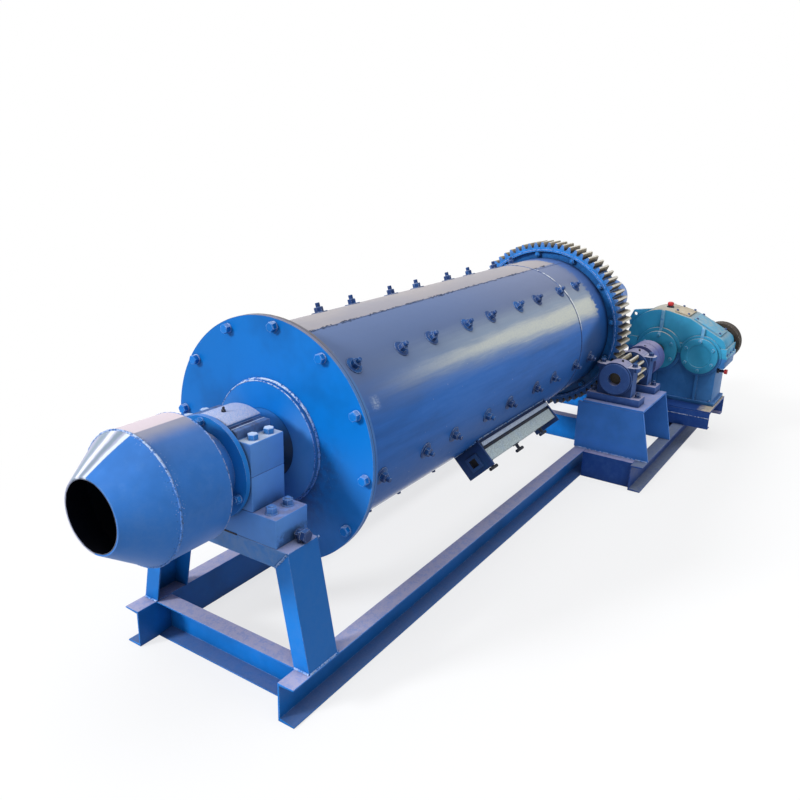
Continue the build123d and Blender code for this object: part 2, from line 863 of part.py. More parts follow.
def at_hatch(shape):
    """Turn a piece made over the top of the drum round to the hatch."""
    return shape.rotate(Axis((0, 0, axis_height), (1, 0, 0)), hatch_angle - 90)


def hatch_frame():
    """Two end plates and two side bars welded to the shell, each end plate with a square boss."""
    x0 = hatch_start
    x1 = x0 + hatch_length
    half = hatch_half_width
    surface = axis_height + drum_radius
    foot = axis_height + sqrt(drum_radius ** 2 - half ** 2) - hatch_seat
    top = surface + hatch_height
    frame = block(x0, x0 + hatch_wall, -half, half, foot, top)
    frame += block(x1 - hatch_wall, x1, -half, half, foot, top)
    bar_top = surface + hatch_bar_height
    for side in (-1, 1):
        outer = side * (half - hatch_bar_inset)
        inner = side * (half - hatch_bar_inset - hatch_wall)
        frame += block(x0, x1, inner, outer, foot, bar_top)
    size = hatch_boss_size / 2
    boss_z = surface + hatch_boss_place
    boss = block(x0 - hatch_boss_height, x0 + overcut, -size, size, boss_z - size, boss_z + size)
    hole = hatch_boss_hole / 2
    boss -= block(x0 - hatch_boss_height - overcut, x0, -hole, hole, boss_z - hole, boss_z + hole)
    frame += boss
    return at_hatch(frame - x_cylinder(drum_radius, x0 - overcut, x1 + overcut))


def hatch_cover():
    """Lid between the end plates: a plate with a skirt on each side."""
    x0 = hatch_start + hatch_wall
    x1 = hatch_start + hatch_length - hatch_wall
    half = hatch_half_width - hatch_bar_inset
    z0 = axis_height + drum_radius + hatch_lid_start
    z1 = z0 + hatch_lid_height
    lid = block(x0, x1, -half, half, z0, z1)
    inner = half - hatch_wall
    return at_hatch(lid - block(x0 - overcut, x1 + overcut, -inner, inner, z0 - overcut, z1 - hatch_wall))


def all_pieces():
    """Every node of the mill with its solid or solids."""
    leg = stand_leg()
    base = bearing_base()
    housing = bearing_housing()
    cap = bearing_cap()
    trunnion = feed_trunnion()
    flange = ring_flange()
    spout = nozzle(spout_neck_length, spout_barrel_length, spout_cone_length)
    return {
        "left_rail": left_rail(),
        "right_rail": mirrored_side(left_rail()),
        "outer_rail": outer_rail(),
        "stand_cross_channels": stand_cross_channels(),
        "end_cross_channel": end_cross_channel(),
        "subframe_cross_channels": subframe_crosses(),
        "feed_stand_legs": [leg, mirrored_side(leg)],
        "feed_stand_beam": stand_beam(),
        "discharge_stand_legs": [mirrored_end(leg), mirrored_end(mirrored_side(leg))],
        "discharge_stand_beam": mirrored_end(stand_beam()),
        "feed_bearing_base": base,
        "feed_bearing_housing": housing,
        "feed_bearing_cap": cap,
        "discharge_bearing_base": mirrored_end(base),
        "discharge_bearing_housing": mirrored_end(housing),
        "discharge_bearing_cap": mirrored_end(cap),
        "drum_shell": drum_shell(),
        "feed_end_plate": feed_end_plate(),
        "discharge_end_plate": discharge_end_plate(),
        "feed_trunnion": trunnion,
        "discharge_trunnion": mirrored_end(trunnion),
        "feed_ring_flange": flange,
        "discharge_ring_flange": mirrored_end(flange),
        "feeder_nozzle": nozzle(feeder_neck_length, feeder_barrel_length, feeder_cone_length),
        "discharge_spout": mirrored_end(spout),
        "ring_gear": ring_gear(),
        "hatch_frame": hatch_frame(),
        "hatch_cover": hatch_cover(),
        "pinion": pinion(),
        "pinion_shaft": pinion_shaft(),
        "plummer_housings": [plummer_housing(start) for start in plummer_starts()],
        "plummer_caps": [plummer_cap(start) for start in plummer_starts()],
        "pinion_stand_front_plate": pinion_stand_front_plate(),
        "pinion_stand_back_plate": pinion_stand_back_plate(),
        "pinion_stand_top_plate": pinion_stand_top_plate(),
        "reducer_base_channels": reducer_base_channels(),
        "reducer_base_plate": reducer_base_top_plate(),
        "reducer_lower_case": reducer_lower_case(),
        "reducer_upper_case": reducer_upper_case(),
        "reducer_bearing_covers": reducer_covers(),
        "reducer_inspection_covers": reducer_inspection_covers(),
        "output_shaft": output_shaft(),
        "coupling_halves": coupling_halves(),
        "input_shaft": input_shaft(),
        "input_wheel": input_wheel(),
    }


def as_compound(shape):
    """One shape for a node made of one or several solids."""
    solids = []
    for item in shape if isinstance(shape, list) else [shape]:
        solids.extend(item.solids())
    return Compound(children=solids) if len(solids) > 1 else solids[0]


def main():
    os.makedirs("parts", exist_ok=True)
    pieces = {name: as_compound(shape) for name, shape in all_pieces().items()}
    boxes = [piece.bounding_box() for piece in pieces.values()]
    centre_x = (min(b.min.X for b in boxes) + max(b.max.X for b in boxes)) / 2
    centre_y = (min(b.min.Y for b in boxes) + max(b.max.Y for b in boxes)) / 2
    for name, piece in pieces.items():
        export_step(piece.moved(Location((-centre_x, -centre_y, 0))), "parts/" + name + ".step")


main()
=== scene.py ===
import json
from math import cos, pi, radians, sin, sqrt

import bpy
from mathutils import Matrix, Vector


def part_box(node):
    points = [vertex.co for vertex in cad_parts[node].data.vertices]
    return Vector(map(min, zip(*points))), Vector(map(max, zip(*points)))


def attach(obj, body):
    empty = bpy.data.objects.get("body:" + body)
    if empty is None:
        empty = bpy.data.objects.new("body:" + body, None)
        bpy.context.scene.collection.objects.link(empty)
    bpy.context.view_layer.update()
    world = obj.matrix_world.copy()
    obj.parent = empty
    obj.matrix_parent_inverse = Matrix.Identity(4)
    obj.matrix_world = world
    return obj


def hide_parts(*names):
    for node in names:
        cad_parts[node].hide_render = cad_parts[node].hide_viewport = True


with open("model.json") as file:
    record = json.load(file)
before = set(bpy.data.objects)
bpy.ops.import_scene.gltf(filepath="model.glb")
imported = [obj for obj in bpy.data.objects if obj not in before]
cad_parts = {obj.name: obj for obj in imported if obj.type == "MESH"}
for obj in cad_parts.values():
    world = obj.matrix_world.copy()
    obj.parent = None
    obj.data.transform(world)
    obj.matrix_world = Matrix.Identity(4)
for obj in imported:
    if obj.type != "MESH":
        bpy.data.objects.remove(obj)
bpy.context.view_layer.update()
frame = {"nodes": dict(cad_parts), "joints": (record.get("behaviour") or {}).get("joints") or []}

bl_info = {
    "name": "Ball mill",
    "version": (1, 0, 0),
    "blender": (4, 5, 0),
    "location": "View3D > Sidebar > Ball mill",
    "description": "Finishes, fasteners, welds and stage for the ball mill",
    "category": "Object",
}

MM = 0.001
JOINTS = {joint["name"]: Vector(joint["pos_m"]) for joint in frame["joints"]}
AXIS = JOINTS["drum_spin"]
PINION_AXIS = JOINTS["pinion_spin"]
INPUT_AXIS = JOINTS["input_spin"]
MIDDLE_AXIS = Vector((0, PINION_AXIS.y - 295 * MM, PINION_AXIS.z))
PLATE_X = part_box("feed_end_plate")[0].x
HEAD_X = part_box("discharge_end_plate")[1].x
MIDDLE_X = (PLATE_X + HEAD_X) / 2
ALONG = Vector((1, 0, 0))
UP = Vector((0, 0, 1))
HATCH_ANGLE = 225.0
HATCH_OUT = Vector((0, cos(radians(HATCH_ANGLE)), sin(radians(HATCH_ANGLE))))
HATCH_ASIDE = Vector((0, cos(radians(HATCH_ANGLE - 90)), sin(radians(HATCH_ANGLE - 90))))

# Sizes of the CAD pieces in millimetres, along the mill from the feed end plate
SHELL_RADIUS = 450
SHELL_SKIN = SHELL_RADIUS - 1
HUB_WELD_RADIUS = 260
CONE_X = -675
CONE_LENGTH = 158
CONE_FALL = 108
CROSS_SEAM_X = 2273
HATCH_X = (1098, 1942)
STAND_EDGES = (-309, -133)
SCREW_Z = 671
PLUMMER_MIDDLES = (2634, 2982)
CASE_PLUG_Z = 557

# Angles in degrees: half of the feeder's worn top, and how far weld beads are shaded smooth
WORN_TURN = 25
WELD_SMOOTH = 60

# Camera: yaw, pitch and roll, place from the middle of the feed end plate, and lens
CAMERA_TURNS = 0.5746, 0.3205, -0.028
CAMERA_PLACE = Vector((-2.1796, -2.0350, 1.1651))
FOCAL_PIXELS = 780.81
PICTURE_PIXELS = 800
SENSOR = 36

# Lamp: name, direction to it, strength and width in degrees
LAMPS = (
    ("key", (-0.76, 0.46, 0.46), 2.75, 12),
    ("top", (-0.15, -0.05, 1.0), 1.4, 50),
    ("front_fill", (-0.95, -0.1, 0.14), 0.2, 50),
    ("side_fill", (-0.2, -0.85, 0.4), 0.32, 80),
)


def srgb(red, green, blue):
    """A screen colour from 0 to 255 as the linear colour that the shaders use."""
    channels = [value / 255 for value in (red, green, blue)]
    return tuple(c / 12.92 if c <= 0.04045 else ((c + 0.055) / 1.055) ** 2.4 for c in channels)


def length(name, description, default):
    return bpy.props.FloatProperty(name=name, description=description, default=default * MM, unit="LENGTH")


def colour(name, description, default):
    return bpy.props.FloatVectorProperty(
        name=name, description=description, default=default, subtype="COLOR", size=3, min=0, max=1
    )


class MillSizes(bpy.types.PropertyGroup):
    """Sizes of the fasteners, welds and small pieces."""

    flange_bolt: length("Flange bolts", "Width across the flats of the end plate bolts", 36)
    liner_bolt: length("Liner bolts", "Width across the flats of the liner nuts", 36)
    ring_bolt: length("Ring bolts", "Width across the flats of the ring flange bolts", 28)
    gear_bolt: length("Gear bolts", "Width across the flats of the gear flange bolts", 32)
    cap_bolt: length("Cap bolts", "Width across the flats of the bearing cap bolts", 36)
    base_bolt: length("Base bolts", "Width across the flats of the bearing base bolts", 38)
    plummer_bolt: length("Plummer bolts", "Width across the flats of the pinion bearing bolts", 30)
    cover_bolt: length("Cover bolts", "Width across the flats of the reducer cover bolts", 19)
    case_bolt: length("Case bolts", "Width across the flats of the reducer flange and foot bolts", 17)
    plate_screw: length("Plate screws", "Width across the flats of the screws of the reducer plates", 14)
    plate_circle: length("Plate bolt circle", "Radius of the end plate bolt circle", 482)
    ring_circle: length("Ring bolt circle", "Radius of the ring flange bolt circle", 181)
    gear_circle: length("Gear bolt circle", "Radius of the gear flange bolt circle", 476)
    weld: length("Weld bead", "Radius of the heavy weld beads", 6)
    seam: length("Shell seam", "Radius of the bead along the shell", 2.6)
    edge: length("Cast edge", "Rounding of the edges of castings", 3.5)
    rolled_edge: length("Rolled edge", "Rounding of the edges of channels and plates", 1.6)


class MillColours(bpy.types.PropertyGroup):
    """Paints and bare metals of the mill."""

    plate: colour("End plate", "Bright blue of the end plates", srgb(4, 114, 202))
    frame: colour("Frame", "Blue of the rolled channels", srgb(10, 118, 208))
    drum: colour("Drum", "Blue of the shell", srgb(48, 114, 202))
    # The shell's pale top, grey shoulder and pale streak are dust and painted reflection together
    shell_top: colour("Shell top", "Pale dust on the top of the shell", srgb(168, 163, 166))
    shell_grey: colour("Shell shoulder", "Grey film on the shoulder of the shell", srgb(100, 118, 156))
    streak: colour("Pale streak", "Pale dusty streak along the shell", srgb(222, 226, 216))
    flake: colour("Flakes", "Pale flakes beside the cross seam", (0.86, 0.9, 0.92))
    mist: colour("Overspray", "Pale mist on the blue paint", srgb(92, 138, 200))
    dust: colour("Dust", "Dust on faces that look up", srgb(178, 174, 200))
    bearing: colour("Bearing", "Blue of the bearing castings", srgb(90, 146, 222))
    # Dark grease, also used as painted shade on the end plate and on the bearing caps
    grease: colour("Grease", "Dark grease on the bearing caps", srgb(44, 54, 88))
    pad: colour("Worn pad", "Worn faces under the cap bolts", srgb(184, 200, 224))
    grit: colour("Grit", "Pinkish grit on the bearing arches and the feeder", srgb(190, 190, 208))
    feeder: colour("Feeder", "Blue of the feeder and the spout", srgb(52, 118, 200))
    primer: colour("Primer", "Pink primer on the top of the feeder", (0.74, 0.64, 0.69))
    # Colours of the painted reflection along the top of the cone
    bare: colour("Bare cone", "Bare bright steel of the cone", (0.8, 0.82, 0.86))
    cone_reflection_edge: colour("Bare edge", "Greenish bare steel by the edge of the cone's paint", (0.72, 0.78, 0.76))
    spatter: colour("Spatter", "Pale spatter beside the cone's weld", (0.8, 0.84, 0.9))
    gear: colour("Gear paint", "Blue of the gear sides", srgb(28, 124, 208))
    liner: colour("Liner nuts", "Navy of the liner nuts", srgb(36, 66, 122))
    stand: colour("Pinion stand", "Navy of the pinion stand", srgb(68, 134, 224))
    plummer: colour("Plummer blocks", "Grey blue of the pinion bearings", srgb(62, 96, 162))
    coupling: colour("Coupling", "Dusty violet blue of the coupling", srgb(96, 106, 168))
    # Both reducer blues are brighter than the paint itself: painted light where the drum's shadow falls on
    # the reducer
    teal: colour("Reducer", "Teal of the upper reducer case", srgb(60, 164, 208))
    lower_case: colour("Reducer foot", "Deep blue of the lower reducer case", srgb(60, 124, 190))
    channel: colour("Reducer channels", "Navy of the channels under the reducer", srgb(32, 74, 152))
    lid: colour("Hatch lid", "Grey green steel of the hatch lid", srgb(190, 206, 212))
    tooth: colour("Tooth steel", "Dull cut steel of the teeth", srgb(186, 176, 150))
    rust: colour("Rust", "Light rust and scale", srgb(104, 72, 54))
    oily: colour("Oily steel", "Brown oil on the shafts", srgb(84, 76, 62))
    wheel: colour("Wheel", "Dark oily iron of the wheel", srgb(72, 66, 60))
    sand: colour("Sand", "Dusty tan of the reducer top", srgb(200, 188, 166))
    rail: colour("Outer rail", "Grey dirt on the outer rail", srgb(126, 136, 150))
    red: colour("Red caps", "Plastic of the breather and the oil plug", srgb(196, 24, 26))
    black: colour("Black", "Blackened steel and rubber", srgb(26, 30, 44))
    floor: colour("Floor", "Pale floor", srgb(238, 239, 241))
    # Painted shade for the end plate's left side
    plate_tint: colour("Plate tint", "Tint of the end plate's left side", (0.7, 0.84, 0.84))
    # Painted shade for the gear's paint away from the top
    gear_side_shade: colour("Gear tint", "Tint of the gear's paint away from the top", (0.5, 0.5, 0.55))


def sizes():
    return bpy.context.scene.mill_sizes


def ink(name, shade=1.0, white=0.0):
    """A colour of the mill by name, darkened by a factor or mixed with white."""
    tone = [shade * channel for channel in getattr(bpy.context.scene.mill_colours, name)]
    return tuple(channel + white * (1 - channel) for channel in tone)


# Shader expressions


class Value:
    """An output socket with arithmetic, so that a formula on shader numbers reads as Python."""

    def __init__(self, tree, socket):
        self.tree = tree
        self.socket = socket

    def math(self, operation, *operands):
        node = self.tree.nodes.new("ShaderNodeMath")
        node.operation = operation
        for socket, operand in zip(node.inputs, operands):
            plug(self.tree, socket, operand)
        return Value(self.tree, node.outputs[0])

    def __add__(self, other):
        return self.math("ADD", self, other)

    __radd__ = __add__

    def __sub__(self, other):
        return self.math("SUBTRACT", self, other)

    def __rsub__(self, other):
        return self.math("SUBTRACT", other, self)

    def __mul__(self, other):
        return self.math("MULTIPLY", self, other)

    __rmul__ = __mul__

    def __truediv__(self, other):
        return self.math("DIVIDE", self, other)

    def __pow__(self, other):
        return self.math("POWER", self, other)

    def __abs__(self):
        return self.math("ABSOLUTE", self)

    def larger(self, other):
        return self.math("MAXIMUM", self, other)

    def smaller(self, other):
        return self.math("MINIMUM", self, other)

    def angle_to(self, other):
        return self.math("ARCTAN2", self, other)

    def ramp(self, low, high, unit=1):
        """0 below low, 1 above high, and smooth between them."""
        node = self.tree.nodes.new("ShaderNodeMapRange")
        node.interpolation_type = "SMOOTHSTEP"
        for socket, item in (("Value", self), ("From Min", low * unit), ("From Max", high * unit)):
            plug(self.tree, node.inputs[socket], item)
        return Value(self.tree, node.outputs[0])

    def between(self, low, high, soft, unit=1):
        """1 inside a range, with soft ends."""
        low, high, soft = low * unit, high * unit, soft * unit
        return self.ramp(low - soft, low + soft) * (1 - self.ramp(high - soft, high + soft))


def plug(tree, socket, item):
    """Links a value to a socket, or sets the socket's own number."""
    if isinstance(item, Value):
        tree.links.new(item.socket, socket)
    elif item is not None:
        socket.default_value = item


class Finish:
    """One material, built from nodes around a single surface shader."""

    def __init__(self, name, **surface):
        self.material = bpy.data.materials.new(name)
        self.material.use_nodes = True
        self.tree = self.material.node_tree
        self.tree.nodes.clear()
        self.shader = self.tree.nodes.new("ShaderNodeBsdfPrincipled")
        output = self.tree.nodes.new("ShaderNodeOutputMaterial")
        self.tree.links.new(self.shader.outputs[0], output.inputs["Surface"])
        for socket, value in surface.items():
            self.set(socket.replace("_", " "), value)
        self.place = self.node("TexCoord", {}, {}, "Object")
        self.x, self.y, self.z = self.parts(self.place)
        self.ahead, self.aside, self.upward = self.parts(self.node("TexCoord", {}, {}, "Normal"))
        self.tone = None
        self.settling = 1.0

    def parts(self, vector):
        """The three numbers of a vector."""
        split = self.tree.nodes.new("ShaderNodeSeparateXYZ")
        plug(self.tree, split.inputs[0], vector)
        return [Value(self.tree, socket) for socket in split.outputs]

    def set(self, socket, value):
        """Gives the surface shader a value or a link."""
        if isinstance(value, tuple) and len(value) == 3:
            value = (*value, 1.0)
        plug(self.tree, self.shader.inputs[socket], value)

    def node(self, kind, settings, inputs, output=0):
        """Adds any other node: its settings first, then its sockets; gives back one output."""
        node = self.tree.nodes.new("ShaderNode" + kind)
        for name, value in settings.items():
            setattr(node, name, value)
        for name, value in inputs.items():
            if isinstance(value, tuple) and len(value) == 3 and node.inputs[name].type == "RGBA":
                value = (*value, 1.0)
            plug(self.tree, node.inputs[name], value)
        return Value(self.tree, node.outputs[output])

    def stretched(self, x, y, z):
        """The place on the piece, with each direction scaled."""
        return self.node("VectorMath", {"operation": "MULTIPLY"}, {0: self.place, 1: (x, y, z)})

    def noise(self, size, detail=3.0, roughness=0.55, stretch=(1, 1, 1)):
        """Soft noise from 0 to 1, with patches of about the given size in metres."""
        inputs = {
            "Vector": self.stretched(*stretch), "Scale": 1 / size, "Detail": detail, "Roughness": roughness,
        }
        return self.node("TexNoise", {}, inputs)

    def spots(self, size, low, high):
        """1 on scattered points, 0 further than high from them, for specks and pits."""
        cells = self.node("TexVoronoi", {}, {"Vector": self.stretched(1, 1, 1), "Scale": 1 / size})
        return 1 - cells.ramp(low, high)

    def mix(self, first, second, factor, blend="MIX"):
        """A colour between two."""
        settings = {"data_type": "RGBA", "blend_type": blend}
        return self.node("Mix", settings, {0: factor, 6: first, 7: second}, 2)

    def coat(self, colour, cover, blend="MIX"):
        """Lays a colour over the tone that the finish has so far."""
        self.tone = self.mix(self.tone, colour, cover, blend)

    def worn_edges(self, radius, low, high):
        """1 on sharp outer edges, from how far a rounded normal turns away from the true one."""
        rounded = self.node("Bevel", {"samples": 6}, {"Radius": radius * MM})
        true = self.node("NewGeometry", {}, {}, "Normal")
        same = self.node("VectorMath", {"operation": "DOT_PRODUCT"}, {0: rounded, 1: true}, "Value")
        return (1 - same).ramp(low, high)

    def crevices(self, distance, low=0.25, high=0.85):
        """1 in corners and gaps, 0 on open faces."""
        open_sky = self.node("AmbientOcclusion", {"samples": 6}, {"Distance": distance}, "AO")
        return 1 - open_sky.ramp(low, high)

    def surface(self, roughness, height, strength, distance):
        """Feeds the tone, the roughness and a height to the surface shader."""
        self.set("Base Color", self.tone)
        self.set("Roughness", roughness)
        inputs = {"Height": height, "Strength": strength, "Distance": distance * MM}
        self.set("Normal", self.node("Bump", {}, inputs))
        return self

    def along(self):
        """Distance along the drum from the feed end plate."""
        return self.x - PLATE_X

    def radius(self, axis=AXIS):
        """Distance from an axis along X."""
        across, rise = self.y - axis.y, self.z - axis.z
        return (across * across + rise * rise) ** 0.5

    def turn(self):
        """Angle round the drum's axis, in degrees from the top towards -Y."""
        return (AXIS.y - self.y).angle_to(self.z - AXIS.z) * (180 / pi)


def painted(name, base, mist, dust, rough, mist_amount, dust_amount, edge_wear_and_highlight, corner_shade, layer):
    """Sprayed paint on steel: mist patches, dust on top faces, painted shade in corners, and worn edges that
    also carry a painted highlight.
    """
    paint = Finish(name, Specular_IOR_Level=0.18)
    broad = paint.broad = paint.noise(0.34, 4.0, 0.6)
    fine = paint.fine = paint.noise(0.035, 5.0, 0.62)
    grit = paint.grit = paint.noise(0.009, 3.0, 0.7)
    paint.tone = paint.mix(ink(base, 0.76), ink(base), broad.ramp(0.32, 0.6))
    paint.coat(ink(mist), (broad * 0.45 + fine * 0.55).ramp(0.46, 0.66) * mist_amount)
    if layer:
        layer(paint)
    specks = 0.7 + 0.3 * (0.5 * grit + 0.5 * fine).ramp(0.4, 0.56)
    settled = paint.upward.ramp(0.6, 0.95) * specks * paint.settling
    paint.coat(ink(dust), settled * dust_amount)
    # Painted shade: the paint darkens in corners and gaps
    paint.coat(ink(base, 0.14), paint.crevices(0.09) * corner_shade)
    # Worn paint on sharp edges, paler, which also stands for the light the edges catch
    worn = paint.worn_edges(2.2, 0.03, 0.16) * fine.ramp(0.36, 0.52) * edge_wear_and_highlight
    paint.coat(ink(base, white=0.42), worn)
    peel = paint.noise(0.006, 2.0)
    return paint.surface(rough + 0.16 * fine + 0.3 * settled, peel * 0.5 + fine * 1.2 + broad, 0.12, 1.2)


def rim_film(paint):
    """Pale film on the rims of the end plate and the flange behind it, with a dark joint between."""
    turn = abs(paint.turn())
    film = paint.mix(ink("shell_top", 0.42), ink("mist", 0.85), turn.ramp(25, 55))
    rim = paint.radius().ramp(513, 514.5, MM) * (0.5 + 0.5 * paint.fine.ramp(0.3, 0.5))
    paint.coat(film, rim * (0.9 - 0.55 * turn.ramp(58, 92)))
    paint.coat(ink("liner", 0.3), paint.along().between(14.5, 17.5, 0.4, MM) * 0.85)


def plate_film(paint):
    """Plate paint darker on the left as painted shade; low round the trunnion, patchy dark grease that also
    paints the bearing's shadow, pale specks, and paler paint for the light in that shade.
    """
    broad, fine = paint.broad, paint.fine
    # Painted shade: the plate darker towards its left side
    paint.coat(ink("plate_tint"), 1 - ((AXIS.y - paint.y) / 0.5).ramp(-0.9, 0.7), "MULTIPLY")
    turn = abs(paint.turn())
    low = turn.ramp(60, 110) * (1 - paint.radius().ramp(0.18, 0.46))
    # Dark grease that also paints the bearing's shadow on the plate
    paint.coat(ink("grease"), low * (0.35 + 0.65 * (broad * 0.5 + fine * 0.5).ramp(0.42, 0.58)))
    paint.coat(ink("mist"), paint.spots(0.016, 0.10, 0.2) * low * 0.6)
    # Paler paint low on the plate, standing for the grey light that fills its shade
    paint.coat(ink("mist"), turn.ramp(70, 120) * (0.1 + 0.12 * broad.ramp(0.4, 0.6)))
    rim_film(paint)


def cap_wear(paint):
    """Grease and painted shade on the shoulders of a bearing cap, grit on its arch and bare worn pads."""
    rise, aside, fine = paint.z - AXIS.z, abs(paint.y - AXIS.y), paint.fine
    arch = (1 - aside.ramp(84, 88, MM)) * rise.ramp(150, 166, MM) * paint.upward.ramp(0.2, 0.5)
    paint.coat(ink("mist"), arch * 0.7)
    paint.coat(ink("grit"), arch * (0.3 + 0.6 * paint.noise(0.0035, 3.0, 0.7).ramp(0.4, 0.62)))
    # Dark grease on the shoulder tops, which also paints the shade on their upright faces
    shoulder = aside.between(85, 134.4, 1, MM) * rise.ramp(128, 134, MM) * (1 - arch)
    grease_and_shade_tone = paint.mix(ink("grease"), ink("shell_grey"), aside.ramp(106, 109, MM) * 0.45)
    paint.coat(grease_and_shade_tone, shoulder * (0.75 + 0.25 * fine.ramp(0.4, 0.6)))
    line = aside.between(104.5, 108, 0.6, MM) * rise.between(163, 168, 1, MM)
    paint.coat(ink("pad"), line * 0.85)
    pad = aside.ramp(134, 136, MM) * rise.between(124, 134, 2, MM) * paint.upward.ramp(0.8, 0.95)
    paint.coat(ink("pad"), pad * (0.55 + 0.45 * fine.ramp(0.35, 0.5)))


def base_grime(paint):
    """Dark grease on the feet of the trunnion bearings."""
    patch = (paint.broad * 0.4 + paint.fine * 0.6).ramp(0.44, 0.58)
    near_screw = paint.z.between(0.645, 0.70, 0.01) * abs(paint.aside).ramp(0.6, 0.9)
    paint.coat(ink("grease"), patch * (0.55 * paint.upward.ramp(0.7, 0.95) + 0.5 * near_screw))


def plummer_wear(paint):
    """Pale worn lugs of the pinion bearings, and painted shade on the faces outside the turned part."""
    rise = paint.z - PINION_AXIS.z
    # Painted shade on the corners of the faces outside the turned part
    shaded_corners = paint.radius(PINION_AXIS).ramp(100, 102, MM) * abs(paint.ahead).ramp(0.8, 0.95)
    paint.coat(ink("liner", 0.5), shaded_corners * rise.ramp(-112, -108, MM) * 0.75)
    pad = paint.upward.ramp(0.75, 0.95) * rise.between(74, 92, 4, MM)
    paint.coat(ink("pad", white=0.5), pad * paint.fine.ramp(0.24, 0.4))


def feeder_wear(paint):
    """Paint of the feeder worn down to pale primer along its top, painted reflection on the cone, and black
    painted shade inside its mouth.
    """
    signed, from_cone = paint.turn(), paint.x - (PLATE_X + CONE_X * MM)
    away = abs(signed + WORN_TURN) - WORN_TURN
    turn = away + (paint.fine - 0.5) * 4
    cone = 1 - from_cone.ramp(-4, 4, MM)
    barrel = 1 - cone
    paint.coat(ink("shell_grey"), (1 - turn.ramp(24, 60)) * barrel * 0.3)
    paint.coat(ink("grit", 0.6), (1 - turn.ramp(10, 30)) * barrel * 0.9)
    paint.coat(ink("primer"), (1 - (away + (paint.broad - 0.5) * 2).ramp(6, 7.5)) * barrel * 0.85)
    cone_reflection_bands(paint, signed, from_cone, cone)
    weld_zone = from_cone.between(-12, 20, 10, MM)
    pits = paint.spots(0.012, 0.12, 0.24) * weld_zone
    paint.coat(ink("feeder", 0.25), pits * paint.broad.ramp(0.36, 0.56) * 0.8)
    spatter = paint.spots(0.0085, 0.10, 0.2) * weld_zone
    paint.coat(ink("spatter"), spatter * (1 - turn.ramp(70, 120)) * 0.6)
    # Black painted shade inside the feeder's mouth
    wall = paint.radius() - from_cone.smaller(0.0) * (CONE_FALL / CONE_LENGTH)
    inside = (1 - wall.ramp(235.5, 238.5, MM)) * (1 - from_cone.ramp(200, 210, MM))
    paint.coat(ink("black", 0.3), inside)


def cone_reflection_bands(paint, signed, from_cone, cone):
    """Painted reflection in bands along the top of the cone, up to a crisp edge."""
    taper = (from_cone * (-1000 / CONE_LENGTH)).larger(0.0) * 9
    wander = signed + taper + (paint.noise(0.04, 4.0, 0.6, (0.4, 1, 1)) - 0.5) * 6
    reflection_bands = paint.mix(ink("grit", 0.75), ink("lid", 0.5), wander.between(-30, -19, 5))
    # The brightest band of the painted reflection
    reflection_bands = paint.mix(reflection_bands, ink("bare"), wander.between(-17, -10, 2.5))
    reflection_bands = paint.mix(reflection_bands, ink("lid", 0.42), wander.between(-7.5, -1, 1.5))
    reflection_bands = paint.mix(reflection_bands, ink("cone_reflection_edge"), wander.ramp(0.5, 3) * 0.85)
    crisp = 1 - (signed + taper + (paint.grit - 0.5) * 1.2).ramp(6, 7.5)
    paint.coat(reflection_bands, crisp * cone * 0.85)


def worn_and_lit_upper_edges(paint):
    """Bright worn metal on the upper edges of nuts, studs and washers, which also paints the highlight they
    catch.
    """
    worn_lit_edges = paint.worn_edges(3.5, 0.02, 0.12) * paint.upward.ramp(-0.5, 0.2)
    paint.coat(ink("pad"), worn_lit_edges * (0.35 + 0.65 * paint.fine.ramp(0.4, 0.54)) * 0.85)


def journal_grease_and_shade(paint):
    """Dark greasy paint on the journals beside the bearings, darker still towards the bottom as painted
    shade, and a misty hub below.
    """
    low = abs(paint.turn()).ramp(20, 75)
    paint.coat(ink("mist"), low * (0.3 + 0.25 * paint.broad.ramp(0.4, 0.6)))
    # Grease on the journal, with painted shade that deepens lower down
    paint.coat(paint.mix(ink("plate", 0.6), ink("plate", 0.1), low), 1 - paint.radius().ramp(146, 150, MM))


def rail_shade(paint):
    """Painted shade: the lower flanges of the frame and the faces that look towards -Y are darker; the lower
    flanges also hold less dust than the upper ones.
    """
    low = 1 - paint.z.ramp(0.05, 0.12)
    paint.settling = 1 - low * 0.85
    # Painted shade on faces that look towards -Y
    paint.coat(ink("liner", 0.9), (0 - paint.aside).ramp(0.6, 0.95) * 0.3)
    # Painted shade on the tops of the lower flanges
    paint.coat(ink("frame", 0.32), low * paint.upward.ramp(0.5, 0.9) * (0.7 + 0.3 * paint.fine))


def teal_case(paint):
    """Painted highlight on the upright ribs over the shaft bosses, and dust at the crown's inner end."""
    from_pinion = abs(paint.y - PINION_AXIS.y)
    beside = from_pinion.smaller(abs(paint.y - MIDDLE_AXIS.y))
    # Painted highlight on the front of the ribs
    rib_highlight = (1 - beside.ramp(10.5, 11.5, MM)) * (1 - paint.along().ramp(3.562, 3.564))
    rib_highlight = rib_highlight * (paint.z - PINION_AXIS.z).ramp(0.1, 0.13)
    paint.settling = 0.7 + 0.9 * (1 - from_pinion.ramp(0.1, 0.24))
    paint.coat(paint.mix(ink("teal", white=0.2), ink("mist"), paint.fine.ramp(0.45, 0.7)), rib_highlight * 0.75)


def plate_tones(paint):
    """The plate on the crown is sandy with a pale border; the one on the slope is dusty teal."""
    slope = 1 - (paint.y - PINION_AXIS.y).ramp(-204, -200, MM)
    paint.coat(ink("teal"), slope * (0.55 + 0.35 * paint.fine.ramp(0.35, 0.6)))


def tan_end(paint):
    """Sandy dust only at the outer end of the reducer's base plate."""
    paint.settling = (AXIS.y - paint.y + (paint.fine - 0.5) * 0.1).ramp(0.93, 1.0)
    paint.coat(ink("black"), 0.35 * paint.upward.ramp(0.5, 0.9))


